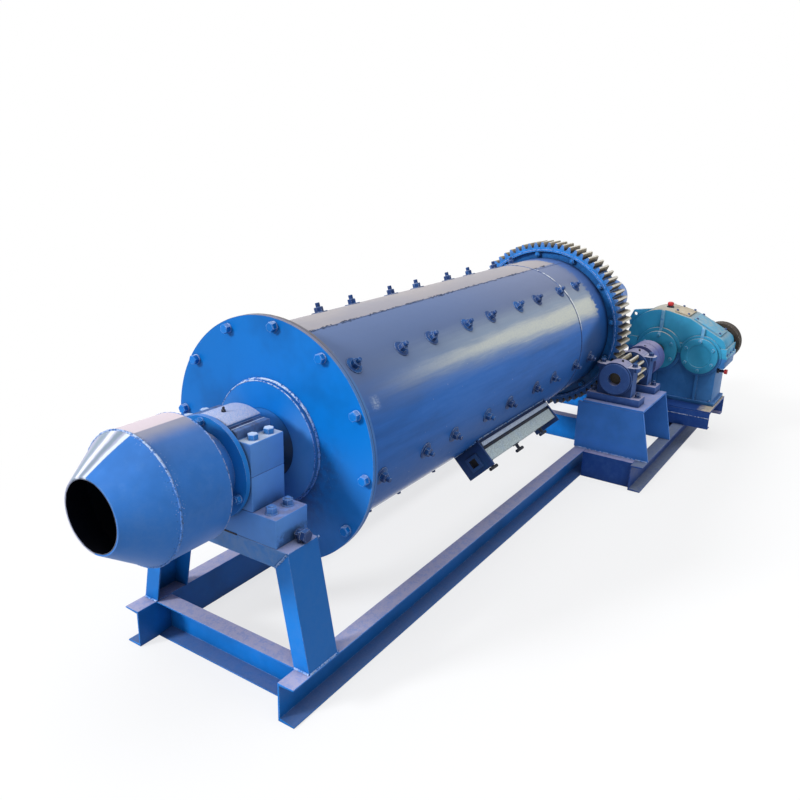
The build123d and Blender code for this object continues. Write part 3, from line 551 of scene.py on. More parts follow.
def lower_stain(paint):
    """Pale splashes low on the reducer case."""
    splash = (paint.broad * 0.5 + paint.fine * 0.5).ramp(0.5, 0.62)
    paint.coat(ink("mist"), splash * (1 - (paint.z - 0.38).ramp(0.0, 0.16)) * 0.35)


def hatch_wall(paint):
    """Dark greasy paint on the hatch frame, and black painted shade in the square hole of its end boss."""
    paint.coat(ink("black"), (paint.fine * 0.6 + paint.broad * 0.4).ramp(0.42, 0.6) * 0.5)
    across, rise = paint.y - AXIS.y, paint.z - AXIS.z
    out = across * HATCH_OUT.y + rise * HATCH_OUT.z
    aside = across * HATCH_ASIDE.y + rise * HATCH_ASIDE.z
    square = abs(aside).larger(abs(out - 0.528))
    end = 1 - paint.along().ramp(1.1015, 1.1025)
    paint.coat(ink("mist"), end * (1 - square.ramp(37, 39, MM)) * 0.12)
    # Black painted shade in the square hole
    paint.coat(ink("black", 0.2), end * (1 - square.ramp(20.5, 22, MM)))


def drum_paint(name):
    """Shell paint: pale dust and painted reflection on top, a grey shoulder, a pale streak, then blue that
    deepens below as painted shade.
    """
    paint = Finish(name, Specular_IOR_Level=0.16)
    broad = paint.broad = paint.noise(0.5, 4.0, 0.62, (0.45, 1, 1))
    fine = paint.fine = paint.noise(0.03, 5.0, 0.65)
    drawn = paint.noise(0.05, 4.0, 0.6, (0.1, 1, 1))
    along, signed = paint.along(), paint.turn()
    turn = abs(signed) + (broad - 0.5) * 7 + (drawn - 0.5) * 4
    paint.tone = paint.mix(ink("drum", 0.66), ink("drum"), (broad * 0.6 + drawn * 0.4).ramp(0.3, 0.62))
    paint.coat(ink("mist"), (broad * 0.4 + fine * 0.2 + drawn * 0.4).ramp(0.5, 0.68) * 0.22)
    # Painted shade: the shell darker towards its underside
    paint.coat(ink("drum", 0.62), turn.ramp(84, 118) * 0.85)
    ragged = along + (fine - 0.5) * 0.1 + (paint.noise(0.02, 3.0, 0.6, (0.25, 1, 1)) - 0.5) * 0.12
    dusty = 1 - ragged.ramp(2.57, 2.61)
    # Grey film of dust and painted reflection over the top and shoulder
    film = (1 - turn.ramp(42, 78)) * (0.5 + 0.5 * dusty)
    paint.coat(paint.mix(ink("shell_grey"), ink("shell_top"), along.ramp(0.6, 2.6) * 0.3), film * 0.92)
    torn_top(paint, signed, turn, dusty)
    streak_dust_and_reflection(paint, along, turn, dusty)
    scratches(paint, along, signed)
    near_gear = (along + 0.3 * turn.ramp(68, 90)).ramp(2.5, 2.72) * (0.6 + 0.4 * turn.ramp(60, 90))
    paint.coat(ink("drum", 0.3), near_gear * 0.85)
    paint.coat(paint.mix(ink("gear", 0.7), ink("gear"), fine.ramp(0.3, 0.6)), along.ramp(2.747, 2.748))
    rim_film(paint)
    # Painted shade in corners and gaps
    paint.coat(ink("liner", 0.35), paint.crevices(0.06, 0.35, 0.95) * 0.75)
    roughness = 0.4 + 0.16 * fine + 0.12 * film - 0.26 * signed.ramp(122, 134)
    return paint.surface(roughness, fine + broad * 1.5 + drawn * 0.6, 0.16, 1.5)


def torn_top(paint, signed, turn, dusty):
    """Pale dust and painted reflection on the top of the shell, torn off along a ragged dark edge."""
    ripped = signed + (paint.noise(0.024, 5.0, 0.8) - 0.5) * 7
    top = (1 - ripped.ramp(11.5, 12.2)) * (1 - turn.ramp(34, 50)) * dusty
    paint.coat(ink("shell_top"), top * (0.75 + 0.25 * paint.broad.ramp(0.3, 0.6)))
    tear = ripped.between(10.9, 12.7, 0.3) * paint.noise(0.04, 3.0, 0.7).ramp(0.46, 0.5) * dusty
    paint.coat(ink("liner", 0.2), tear * 0.95)


def streak_dust_and_reflection(paint, along, turn, dusty):
    """A brushed pale streak of dust and painted reflection along the shoulder, wider and lower towards the
    gear, and a few specks.
    """
    grown = along.ramp(0.05, 1.2) * dusty
    end = along.ramp(0.4, 2.6)
    brushed = turn + (paint.noise(0.016, 4.0, 0.7, (0.06, 1, 1)) - 0.5) * 7
    paint.coat(ink("lid", white=0.05), brushed.between(44, 66 + 6 * end, 8) * grown * 0.4)
    worn = 0.85 + 0.15 * paint.noise(0.012, 3.0, 0.7).ramp(0.36, 0.6)
    core = brushed.between(54.5, 60.5 + 8 * end, 4) * grown * worn
    paint.coat(ink("streak"), core * (0.7 + 0.25 * end))
    paint.coat(ink("streak"), paint.spots(0.05, 0.03, 0.07) * paint.broad.ramp(0.45, 0.6) * 0.4)


def scratches(paint, along, signed):
    """A scratched patch near the feed end, and pale flakes beside the cross seam."""
    smudge = along.between(148, 190, 16, MM) * signed.between(60.5, 66, 2)
    scratch = paint.noise(0.006, 3.0, 0.7, (0.5, 1, 1)).ramp(0.46, 0.54)
    paint.coat(ink("pad"), smudge * (0.3 + 0.7 * scratch) * 0.6)
    flakes = along.between(2.275, 2.296, 0.002) * signed.between(14, 74, 4) * paint.fine.ramp(0.42, 0.5)
    paint.coat(ink("flake"), flakes * 0.95)


def bare_metal(name, base, stain, rough, metallic, stain_amount):
    """Bare metal with grain, stains and painted shade in the corners."""
    metal = Finish(name, Metallic=metallic)
    patch = metal.noise(0.05, 5.0, 0.62)
    fine = metal.noise(0.006, 3.0, 0.6)
    metal.tone = metal.mix(ink(base, 0.62), ink(base), fine.ramp(0.3, 0.7))
    metal.coat(ink(stain), patch.ramp(0.5, 0.72) * stain_amount)
    # Painted shade in the corners
    metal.coat(ink(stain, 0.2), metal.crevices(0.03) * 0.6)
    metal.coat(ink(base, white=0.4), metal.worn_edges(1.5, 0.03, 0.16) * 0.6)
    return metal.surface(rough + 0.25 * patch + 0.15 * fine, fine + patch, 0.25, 0.6)


def gear_metal(name, axis, root, tip, teeth_paint):
    """Painted sides and bare cut teeth, told apart by radius and by where the face looks."""
    metal = Finish(name, Specular_IOR_Level=0.35)
    patch = metal.noise(0.05, 5.0, 0.62)
    fine = metal.noise(0.008, 3.0)
    radius = metal.radius(axis)
    teeth = radius.ramp(root - 1, root + 3, MM)
    bare = teeth * (1 - abs(metal.ahead).ramp(0.5, 0.8) * teeth_paint)
    steel = metal.mix(ink("tooth", 0.4), ink("tooth", 0.8), fine.ramp(0.25, 0.65))
    steel = metal.mix(steel, ink("rust"), patch.ramp(0.46, 0.66) * 0.5)
    # Oil and painted shade darken the teeth towards their roots
    steel = metal.mix(steel, ink("oily", 0.2), (1 - radius.ramp(root, 0.2 * root + 0.8 * tip, MM)) * 0.9)
    crest = radius.ramp(tip - 3, tip - 1, MM) * (0.6 + 0.4 * fine.ramp(0.3, 0.5))
    steel = metal.mix(steel, ink("tooth", white=0.45), crest)
    metal.tone = metal.mix(ink("gear", 0.62), ink("gear"), patch.ramp(0.3, 0.6))
    metal.coat(ink("mist"), fine.ramp(0.58, 0.75) * 0.25)
    # Painted shade: the gear's paint darker away from the top
    metal.coat(ink("gear_side_shade"), abs(metal.turn()).ramp(30, 90), "MULTIPLY")
    metal.coat(steel, bare)
    # Painted shade in corners and gaps
    metal.coat(ink("liner", 0.25), metal.crevices(0.04) * 0.6)
    metal.coat(ink("gear", white=0.4), metal.worn_edges(1.8, 0.03, 0.16) * (1 - teeth) * 0.7)
    metal.set("Metallic", bare * 0.35)
    return metal.surface(0.38 + 0.2 * patch + 0.12 * fine, fine + patch, 0.25, 0.8)


def weld_metal(name, base, scale, share, top_scale_and_highlight=0.0):
    """Rippled weld bead under thin paint, with bright scale in places, or only near the top, where it also
    paints a highlight.
    """
    weld = Finish(name, Specular_IOR_Level=0.35)
    ripple = weld.noise(0.007, 2.0, 0.5)
    patch = weld.noise(0.02, 4.0)
    weld.tone = weld.mix(ink(base, 0.4), ink(base), ripple.ramp(0.34, 0.54))
    # Near the top the pale scale also stands for a painted highlight
    scale_and_highlight_near_top = 1 - abs(weld.turn()).ramp(25, 85) * top_scale_and_highlight
    weld.coat(ink(scale), (patch * 0.6 + ripple * 0.4).ramp(0.42, 0.54) * scale_and_highlight_near_top * share)
    return weld.surface(0.42 + 0.2 * ripple, ripple, 0.8, 2.5)


def red_plastic(name):
    """Moulded red plastic, darker in random patches."""
    plastic = Finish(name)
    fine = plastic.noise(0.01, 3.0)
    plastic.tone = plastic.mix(ink("red", 0.5), ink("red"), fine.ramp(0.2, 0.6))
    return plastic.surface(0.35, fine, 0.2, 0.4)


# Paint by name: colour, mist, dust, roughness, share of mist, dust, worn edges with painted highlight and
# painted corner shade, extra layer
PAINTS = {
    "plate_blue": ("plate", "mist", "dust", 0.30, 0.0, 0.3, 0.4, 0.75, plate_film),
    "journal_blue": ("plate", "mist", "plate", 0.4, 0.0, 0.0, 0.1, 0.75, journal_grease_and_shade),
    "frame_blue": ("frame", "mist", "dust", 0.34, 0.12, 0.9, 0.9, 0.7, rail_shade),
    # The beams get a paler blue than the frame: painted light where the feeder's shadow falls on them
    "beam_blue": ("mist", "frame", "dust", 0.38, 0.5, 0.7, 0.8, 0.7, None),
    "rail_grey": ("channel", "rail", "rail", 0.42, 0.3, 0.8, 1.0, 0.7, None),
    "bearing_blue": ("bearing", "mist", "dust", 0.42, 0.2, 0.45, 0.6, 0.7, base_grime),
    "bearing_cap": ("bearing", "mist", "grit", 0.42, 0.25, 0.0, 0.8, 0.6, cap_wear),
    "feeder_blue": ("feeder", "mist", "grit", 0.36, 0.2, 0.0, 0.6, 0.5, feeder_wear),
    "ring_blue": ("gear", "mist", "dust", 0.36, 0.1, 0.2, 0.6, 0.8, None),
    "stand_blue": ("stand", "mist", "dust", 0.40, 0.12, 0.7, 0.7, 0.7, None),
    "plummer_blue": ("plummer", "mist", "dust", 0.46, 0.2, 0.85, 0.7, 0.7, plummer_wear),
    "plummer_face": ("plummer", "mist", "dust", 0.46, 0.25, 0.6, 0.8, 0.5, None),
    "coupling_blue": ("coupling", "mist", "dust", 0.5, 0.2, 0.7, 0.6, 0.6, None),
    "hatch_blue": ("liner", "gear", "dust", 0.42, 0.4, 0.1, 1.0, 0.7, hatch_wall),
    "teal": ("teal", "mist", "sand", 0.30, 0.12, 0.6, 1.0, 0.75, teal_case),
    "lower_teal": ("lower_case", "mist", "mist", 0.38, 0.12, 0.5, 0.6, 0.75, lower_stain),
    "channel_blue": ("channel", "mist", "dust", 0.38, 0.12, 0.8, 0.9, 0.6, None),
    "base_plate": ("channel", "mist", "sand", 0.42, 0.1, 0.95, 1.3, 0.4, tan_end),
    "sand": ("sand", "streak", "sand", 0.5, 0.4, 0.15, 0.6, 0.4, plate_tones),
    "bolt_blue": ("plate", "mist", "pad", 0.32, 0.15, 0.45, 0.6, 0.6, worn_and_lit_upper_edges),
    "bolt_worn": ("gear", "mist", "pad", 0.40, 0.4, 1.0, 0.6, 0.6, worn_and_lit_upper_edges),
    "bolt_painted": ("bearing", "grease", "mist", 0.45, 0.7, 0.5, 0.6, 0.8, worn_and_lit_upper_edges),
    "bolt_dark": ("liner", "black", "mist", 0.40, 0.3, 0.4, 0.8, 0.6, worn_and_lit_upper_edges),
    "bolt_gear": ("gear", "liner", "mist", 0.36, 0.4, 0.3, 0.9, 0.7, None),
    "bolt_teal": ("teal", "mist", "mist", 0.36, 0.4, 0.5, 0.8, 0.6, worn_and_lit_upper_edges),
    "liner_navy": ("liner", "gear", "mist", 0.36, 0.45, 0.15, 0.6, 0.5, worn_and_lit_upper_edges),
}

# Metal by name: colour, stain, roughness, how metallic, share of stain
METALS = {
    "bright_steel": ("pad", "mist", 0.3, 0.3, 0.15),
    "lid_steel": ("lid", "mist", 0.42, 0.3, 0.2),
    "oily_steel": ("oily", "black", 0.4, 0.5, 0.7),
    "wheel_iron": ("wheel", "rust", 0.34, 0.6, 0.4),
    "black_steel": ("black", "liner", 0.42, 0.3, 0.5),
}

# Gear by name: axis, root and tip radius in millimetres, how much of the teeth's sides is painted
GEARS = {
    "ring_gear_metal": (AXIS, 521, 555, 0.8),
    "pinion_metal": (PINION_AXIS, 72, 105, 0.9),
}

# Weld by name: colour, scale, share of scale, and how far the scale, also a painted highlight, keeps to the
# top
WELDS = {
    "weld_blue": ("feeder", "grit", 0.4),
    "weld_crumbs": ("feeder", "pad", 0.75, 0.85),
    "weld_hub": ("drum", "pad", 0.9, 0.85),
    "weld_bright": ("plate", "pad", 0.7),
    "weld_dark": ("liner", "shell_grey", 0.9, 0.8),
    "weld_frame": ("frame", "pad", 0.6),
    "weld_pale": ("channel", "pad", 1.0),
}

# What makes the finishes of each table
KINDS = (
    (painted, PAINTS), (bare_metal, METALS), (gear_metal, GEARS), (weld_metal, WELDS),
    (drum_paint, {"drum_paint": ()}), (red_plastic, {"red_plastic": ()}),
)
MATERIALS = {}


def finish(name):
    """A material by name, made the first time it is asked for."""
    if name not in MATERIALS:
        make, rows = next((make, rows) for make, rows in KINDS if name in rows)
        MATERIALS[name] = make(name, *rows[name]).material
    return MATERIALS[name]


# Modelling helpers


def only(*objects):
    """Selects just these objects, the first of them active."""
    bpy.ops.object.select_all(action="DESELECT")
    for obj in objects:
        obj.select_set(True)
    if objects:
        bpy.context.view_layer.objects.active = objects[0]


def fresh():
    """The object that a primitive operator has just made, with its place put in its mesh."""
    bpy.ops.object.transform_apply(location=True, rotation=True, scale=True)
    return bpy.context.active_object


def prism(sides, radius, start, height):
    """A prism standing on start along Z."""
    only()
    bpy.ops.mesh.primitive_cylinder_add(
        vertices=sides, radius=radius, depth=height, location=(0, 0, start + height / 2)
    )
    return fresh()


def edit(obj, kind, wanted):
    """Enters edit mode with only the edges or faces selected that are wanted."""
    only(obj)
    mesh = obj.data
    for items in (mesh.vertices, mesh.edges, mesh.polygons):
        items.foreach_set("select", [False] * len(items))
    chosen = mesh.edges if kind == "EDGE" else mesh.polygons
    for item in chosen:
        item.select = wanted(item)
    bpy.ops.object.mode_set(mode="EDIT")
    bpy.ops.mesh.select_mode(type=kind)


def leave_edit(obj):
    bpy.ops.object.mode_set(mode="OBJECT")
    return obj


def crown(obj, inset, rise):
    """Chamfers the top face of an upright piece: inset, then lifted."""
    highest = max(vertex.co.z for vertex in obj.data.vertices)
    edit(obj, "FACE", lambda face: face.normal.z > 0.9 and face.center.z > highest - 0.01 * MM)
    bpy.ops.mesh.inset(thickness=inset)
    bpy.ops.transform.translate(value=(0, 0, rise))
    return leave_edit(obj)


def joined(pieces):
    """Joins pieces into the first of them."""
    only(*pieces)
    if len(pieces) > 1:
        bpy.ops.object.join()
    return pieces[0]


def smooth(obj, angle):
    only(obj)
    bpy.ops.object.shade_smooth_by_angle(angle=radians(angle))
    return obj


def applied(obj, kind, **settings):
    """Adds a modifier, sets it and applies it."""
    only(obj)
    modifier = obj.modifiers.new(kind.lower(), kind)
    for name, value in settings.items():
        setattr(modifier, name, value)
    bpy.ops.object.modifier_apply(modifier=modifier.name)
    return obj


def moved(obj, place):
    """Moves the mesh of a piece to its place."""
    obj.data.transform(place)
    return obj


def hex_bolt(across, washer=0.0, stud=0.0):
    """A hexagon head or nut on a washer, with the end of its stud if it has one."""
    thick = 0.11 * across if washer else 0.0
    parts = [crown(prism(6, across / sqrt(3), thick, 0.56 * across), 0.07 * across, 0.06 * across)]
    if washer:
        parts.append(crown(prism(20, washer, 0, 0.8 * thick), 0.04 * across, 0.2 * thick))
    if stud:
        end = prism(12, 0.29 * across, thick + 0.5 * across, stud)
        parts.append(crown(end, 0.06 * across, 0.05 * across))
    return joined(parts)


def towards(point, direction, spin=0.0):
    """Where a piece modelled along Z goes: on the point, looking in the direction."""
    turn = direction.to_track_quat("Z", "Y").to_matrix().to_4x4()
    return Matrix.Translation(point) @ turn @ Matrix.Rotation(spin, 4, "Z")


def copies(prototype, places):
    """Copies of a modelled piece at the places, each with its own mesh."""
    made = []
    for place in places:
        piece = prototype.copy()
        piece.data = prototype.data.copy()
        bpy.context.collection.objects.link(piece)
        made.append(moved(piece, place))
    bpy.data.objects.remove(prototype)
    return made


def dressed(name, pieces, body, material, angle=35):
    """Joins pieces under one name, gives them their finish and lets them ride on their body."""
    piece = smooth(joined(pieces), angle)
    piece.name = name
    piece.data.name = name
    piece.data.materials.clear()
    piece.data.materials.append(finish(material))
    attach(piece, body)
    return piece


def softened(node, name, width, material, body="frame", segments=2):
    """A merged copy of a CAD node with rounded edges, which stands for the node."""
    piece = bpy.data.objects.new(name, frame["nodes"][node].data.copy())
    bpy.context.collection.objects.link(piece)
    only(piece)
    bpy.ops.object.mode_set(mode="EDIT")
    bpy.ops.mesh.select_all(action="SELECT")
    bpy.ops.mesh.remove_doubles(threshold=0.02 * MM)
    bpy.ops.mesh.dissolve_limited(angle_limit=radians(0.4))
    leave_edit(piece)
    applied(
        piece, "BEVEL", width=width, segments=segments, angle_limit=radians(30), limit_method="ANGLE"
    )
    dressed(name, [piece], body, material, 40)
    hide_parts(node)


def paint_node(node, material):
    """Gives a CAD node that is shown as it is its finish."""
    mesh = frame["nodes"][node].data
    mesh.materials.clear()
    mesh.materials.append(finish(material))


def roughened(obj, strength, size):
    """Moves the surface in and out by soft clouds."""
    clouds = bpy.data.textures.get("bead_clouds") or bpy.data.textures.new("bead_clouds", "CLOUDS")
    clouds.noise_scale = size
    return applied(
        obj, "DISPLACE", texture=clouds, strength=strength, mid_level=0.5, texture_coords="LOCAL"
    )


def bead_ring(x, radius, bead):
    """A weld bead round the drum's axis, uneven as a hand-laid one is."""
    only()
    bpy.ops.mesh.primitive_torus_add(
        major_segments=220, minor_segments=8, major_radius=radius, minor_radius=bead,
        location=(x, AXIS.y, AXIS.z), rotation=(0, pi / 2, 0),
    )
    return roughened(fresh(), bead * 1.1, 0.011)


def bead_line(start, end, bead, roughness=0.9):
    """A straight weld bead from start to end."""
    run = end - start
    only()
    bpy.ops.mesh.primitive_cylinder_add(vertices=8, radius=bead, depth=run.length)
    line = fresh()
    ends = [vertex.co.z for vertex in line.data.vertices]
    edit(line, "EDGE", lambda e: abs(ends[e.vertices[0]] - ends[e.vertices[1]]) > run.length / 2)
    bpy.ops.mesh.subdivide(number_cuts=min(400, max(6, int(run.length / (bead * 1.6)))))
    moved(leave_edit(line), towards((start + end) / 2, run))
    return roughened(line, bead * roughness, 0.014)


def faced_outwards(obj):
    """Turns all faces of a mirrored piece outwards."""
    only(obj)
    bpy.ops.object.mode_set(mode="EDIT")
    bpy.ops.mesh.select_all(action="SELECT")
    bpy.ops.mesh.normals_make_consistent(inside=False)
    return leave_edit(obj)


def rod(start, end, radius, sides=16, chamfer=0.15):
    """A round bar between two points, with a chamfered end."""
    run = end - start
    bar = crown(prism(sides, radius, 0, run.length), chamfer * radius, 0.02 * MM)
    return moved(bar, towards(start, run))


def slab(low, high, edge):
    """A small plate or block between two corners, with rounded edges."""
    only()
    bpy.ops.mesh.primitive_cube_add(size=1, location=(low + high) / 2, scale=high - low)
    return applied(fresh(), "BEVEL", width=edge, segments=2)


# Places on the mill


def at(x, y, z):
    """A place in millimetres: x from the feed end plate, y from the drum axis, z from the floor."""
    return Vector((PLATE_X + x * MM, AXIS.y + y * MM, z * MM))


def on_circle(x, radius, angle, axis=AXIS):
    """A point about an axis along X, at an angle in degrees from +Y towards +Z."""
    turn = radians(angle)
    return Vector((x, axis.y + radius * cos(turn), axis.z + radius * sin(turn)))


def outward(angle):
    return Vector((0, cos(radians(angle)), sin(radians(angle))))


def mirrored(point):
    """The same place at the other end of the drum."""
    return Vector((2 * MIDDLE_X - point.x, point.y, point.z))


def both_ends(points):
    """The same places at the feed end and at the discharge end."""
    return points + [mirrored(point) for point in points]


def over_hatch(x, aside, rise):
    """A place by the hatch: x from the end plate, aside across the lid, rise from the drum axis."""
    turn = radians(HATCH_ANGLE - 90)
    y = aside * cos(turn) - rise * sin(turn)
    z = aside * sin(turn) + rise * cos(turn)
    return Vector((PLATE_X + x * MM, AXIS.y + y * MM, AXIS.z + z * MM))


def standing_bolts(name, points, bolt, material):
    """Bolts on the given points of the frame, each turned a little differently."""
    places = [towards(point, UP, 0.4 + 0.9 * number) for number, point in enumerate(points)]
    dressed(name, copies(bolt, places), "frame", material)


# Pieces


class MakeFrame(bpy.types.Operator):
    """Base frame, bearing stands and the pinion stand, with their weld beads"""

    bl_idname = "mill.frame"
    bl_label = "Frame and stands"

    def execute(self, context):
        edge = sizes().rolled_edge
        for node, material in (
            ("left_rail", "frame_blue"), ("right_rail", "frame_blue"), ("outer_rail", "rail_grey"),
            ("stand_cross_channels", "frame_blue"), ("end_cross_channel", "frame_blue"),
            ("subframe_cross_channels", "channel_blue"), ("feed_stand_legs", "frame_blue"),
            ("feed_stand_beam", "beam_blue"), ("discharge_stand_legs", "frame_blue"),
            ("discharge_stand_beam", "beam_blue"),
        ):
            softened(node, node + "_steel", edge, material, segments=1)
        for part in ("front", "back", "top"):
            node = f"pinion_stand_{part}_plate"
            softened(node, node + "_steel", edge, "stand_blue", segments=1)
        beads = [bead_line(start, end, sizes().weld * 0.8) for start, end in self.weld_runs()]
        dressed("frame_welds", beads, "frame", "weld_frame", WELD_SMOOTH)
        return {"FINISHED"}

    def weld_runs(self):
        """Runs at the feet and the mitred tops of the legs, and round the pinion stand."""
        foot_z = 171
        runs = []
        for edge in STAND_EDGES:
            for side in (-1, 1):
                foot = (at(edge, side * 384, foot_z), at(edge, side * 455, foot_z))
                mitre = (at(edge, side * 362, 645), at(edge, side * 300, 571))
                for start, end in (foot, mitre):
                    runs += [(start, end), (mirrored(start), mirrored(end))]
        for side in (-1, 1):
            for start_x, end_x in ((-305, -137), (2962, 3130)):
                runs.append((at(start_x, side * 458, foot_z), at(end_x, side * 458, foot_z)))
        margin = 6 * MM
        for node, corner in (("pinion_stand_front_plate", 0), ("pinion_stand_back_plate", 1)):
            low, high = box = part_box(node)
            x = box[corner].x
            runs.append((Vector((x, low.y + margin, low.z)), Vector((x, high.y - margin, low.z))))
        return runs


class MakeBearings(bpy.types.Operator):
    """Trunnion bearings with their bolts, nipples and jacking screws, and a black slab as painted shade in
    the joint under each block
    """

    bl_idname = "mill.bearings"
    bl_label = "Trunnion bearings"

    def execute(self, context):
        materials = {"base": "bearing_blue", "housing": "bearing_blue", "cap": "bearing_cap"}
        for end in ("feed", "discharge"):
            for part, material in materials.items():
                node = f"{end}_bearing_{part}"
                softened(node, node + "_casting", sizes().edge, material)
        caps = both_ends([at(x, side * 166, 1029) for x in (-262, -178) for side in (-1, 1)])
        standing_bolts("bearing_cap_bolts", caps, hex_bolt(sizes().cap_bolt), "bolt_worn")
        feet = both_ends([at(x, side * 254, 762) for x in (-270, -180) for side in (-1, 1)])
        bolt = hex_bolt(sizes().base_bolt, 24 * MM, 8 * MM)
        standing_bolts("bearing_base_bolts", feet, bolt, "bolt_painted")
        nipple = joined([
            crown(prism(6, 9 * MM, -2 * MM, 10 * MM), 1.5 * MM, 1 * MM),
            crown(prism(12, 5 * MM, 8 * MM, 10 * MM), 1.5 * MM, 2 * MM),
        ])
        tops = both_ends([at(-246, -6, 1095)])
        standing_bolts("grease_nipples", tops, nipple, "black_steel")
        self.jacking_screws()
        # A black slab in the joint under each bearing block, as painted shade of the gap there
        low, high = at(-311, -112, 644), at(-303, -44, 651)
        far_low = Vector((mirrored(high).x, low.y, low.z))
        far_high = Vector((mirrored(low).x, high.y, high.z))
        gap_shades = [slab(low, high, 0.8 * MM), slab(far_low, far_high, 0.8 * MM)]
        dressed("bearing_shims", gap_shades, "frame", "black_steel")
        return {"FINISHED"}

    def jacking_screws(self):
        """Screws in small lugs that push the bearings into line, at both ends of each block."""
        screw_x = -200
        lug = slab(at(-226, 336, 647), at(-174, 346, 692), 3 * MM)
        shank = rod(at(screw_x, 309, SCREW_Z), at(screw_x, 352, SCREW_Z), 11 * MM)
        head = crown(prism(6, 27 * MM, 0, 20 * MM), 3.5 * MM, 3 * MM)
        moved(head, towards(at(screw_x, 346, SCREW_Z), Vector((0, 1, 0)), 0.4))
        nut = crown(prism(6, 22 * MM, 0, 13 * MM), 2.5 * MM, 2 * MM)
        moved(nut, towards(at(screw_x, 320, SCREW_Z), Vector((0, 1, 0)), 0.8))
        middle = Matrix.Translation(Vector((MIDDLE_X, AXIS.y, 0)))
        back = Matrix.Translation(-Vector((MIDDLE_X, AXIS.y, 0)))
        places = [middle @ Matrix.Rotation(turn, 4, "Z") @ back for turn in (0, pi)]
        across = middle @ Matrix.Scale(-1, 4, (0, 1, 0)) @ back
        screws = copies(joined([lug, shank, head, nut]), places + [place @ across for place in places])
        screws = [faced_outwards(joined(screws))]
        dressed("bearing_jacking_screws", screws, "frame", "bolt_dark")


class MakeDrum(bpy.types.Operator):
    """Shell, end plates, hubs, trunnions and nozzles"""

    bl_idname = "mill.drum"
    bl_label = "Drum"

    def execute(self, context):
        paint_node("drum_shell", "drum_paint")
        for part, material in (
            ("end_plate", "plate_blue"), ("trunnion", "journal_blue"), ("ring_flange", "ring_blue")
        ):
            for end in ("feed", "discharge"):
                paint_node(f"{end}_{part}", material)
        for node in ("feeder_nozzle", "discharge_spout"):
            paint_node(node, "feeder_blue")
        return {"FINISHED"}


class MakeHatch(bpy.types.Operator):
    """Discharge hatch: frame, lid, clamping bars, black gasket strips that also paint the shade of the gap
    beside the lid, welds and swing bolts
    """

    bl_idname = "mill.hatch"
    bl_label = "Discharge hatch"

    def execute(self, context):
        softened("hatch_frame", "hatch_frame_steel", 1.5 * MM, "hatch_blue", "drum")
        softened("hatch_cover", "hatch_lid", 1.5 * MM, "lid_steel", "drum")
        bars = self.flat_bars(1118, 1922, 88, 474, (11 * MM, 6 * MM))
        dressed("hatch_clamping_bars", bars, "drum", "bright_steel")
        # Black gasket strips inside the bars, which also stand for the shade of the gap there
        strips = self.flat_bars(1106, 1934, 72, 494, (9 * MM, 4 * MM))
        dressed("hatch_gasket", strips, "drum", "black_steel")
        beads = [
            bead_line(over_hatch(1104, aside, 444), over_hatch(1936, aside, 444), sizes().weld * 0.6)
            for aside in (-84, 84)
        ]
        beads += [bead_line(over_hatch(x, -80, 446), over_hatch(x, 80, 446), 4 * MM) for x in HATCH_X]
        dressed("hatch_welds", beads, "drum", "weld_bright", WELD_SMOOTH)
        bolts = [piece for x in (1180, 1490, 1800) for piece in self.swing_bolt(x)]
        dressed("hatch_swing_bolts", bolts, "drum", "black_steel")
        return {"FINISHED"}

    def flat_bars(self, start_x, end_x, aside, rise, halves):
        """Rounded flat bars along both long sides of the hatch."""
        bars = []
        for side in (-aside, aside):
            start, end = over_hatch(start_x, side, rise), over_hatch(end_x, side, rise)
            only()
            bpy.ops.mesh.primitive_cube_add(size=2, scale=(*halves, (end - start).length / 2))
            bar = applied(fresh(), "BEVEL", width=2.5 * MM, segments=3)
            turned = Matrix((HATCH_OUT, HATCH_ASIDE, ALONG)).transposed().to_4x4()
            moved(bar, Matrix.Translation((start + end) / 2) @ turned)
            bars.append(faced_outwards(bar))
        return bars

    def swing_bolt(self, x):
        """A bolt with a tee head on the middle of the lid."""
        foot, head = over_hatch(x, 25, 563), over_hatch(x, 25, 600)
        half = ALONG * 35 * MM
        bolt = [rod(foot, head, 9 * MM, 12), rod(head - half, head + half, 9 * MM, 12, 0.3)]
        washer = crown(prism(20, 20 * MM, 0, 5 * MM), 2 * MM, 1 * MM)
        return bolt + [moved(washer, towards(foot, HATCH_OUT))]


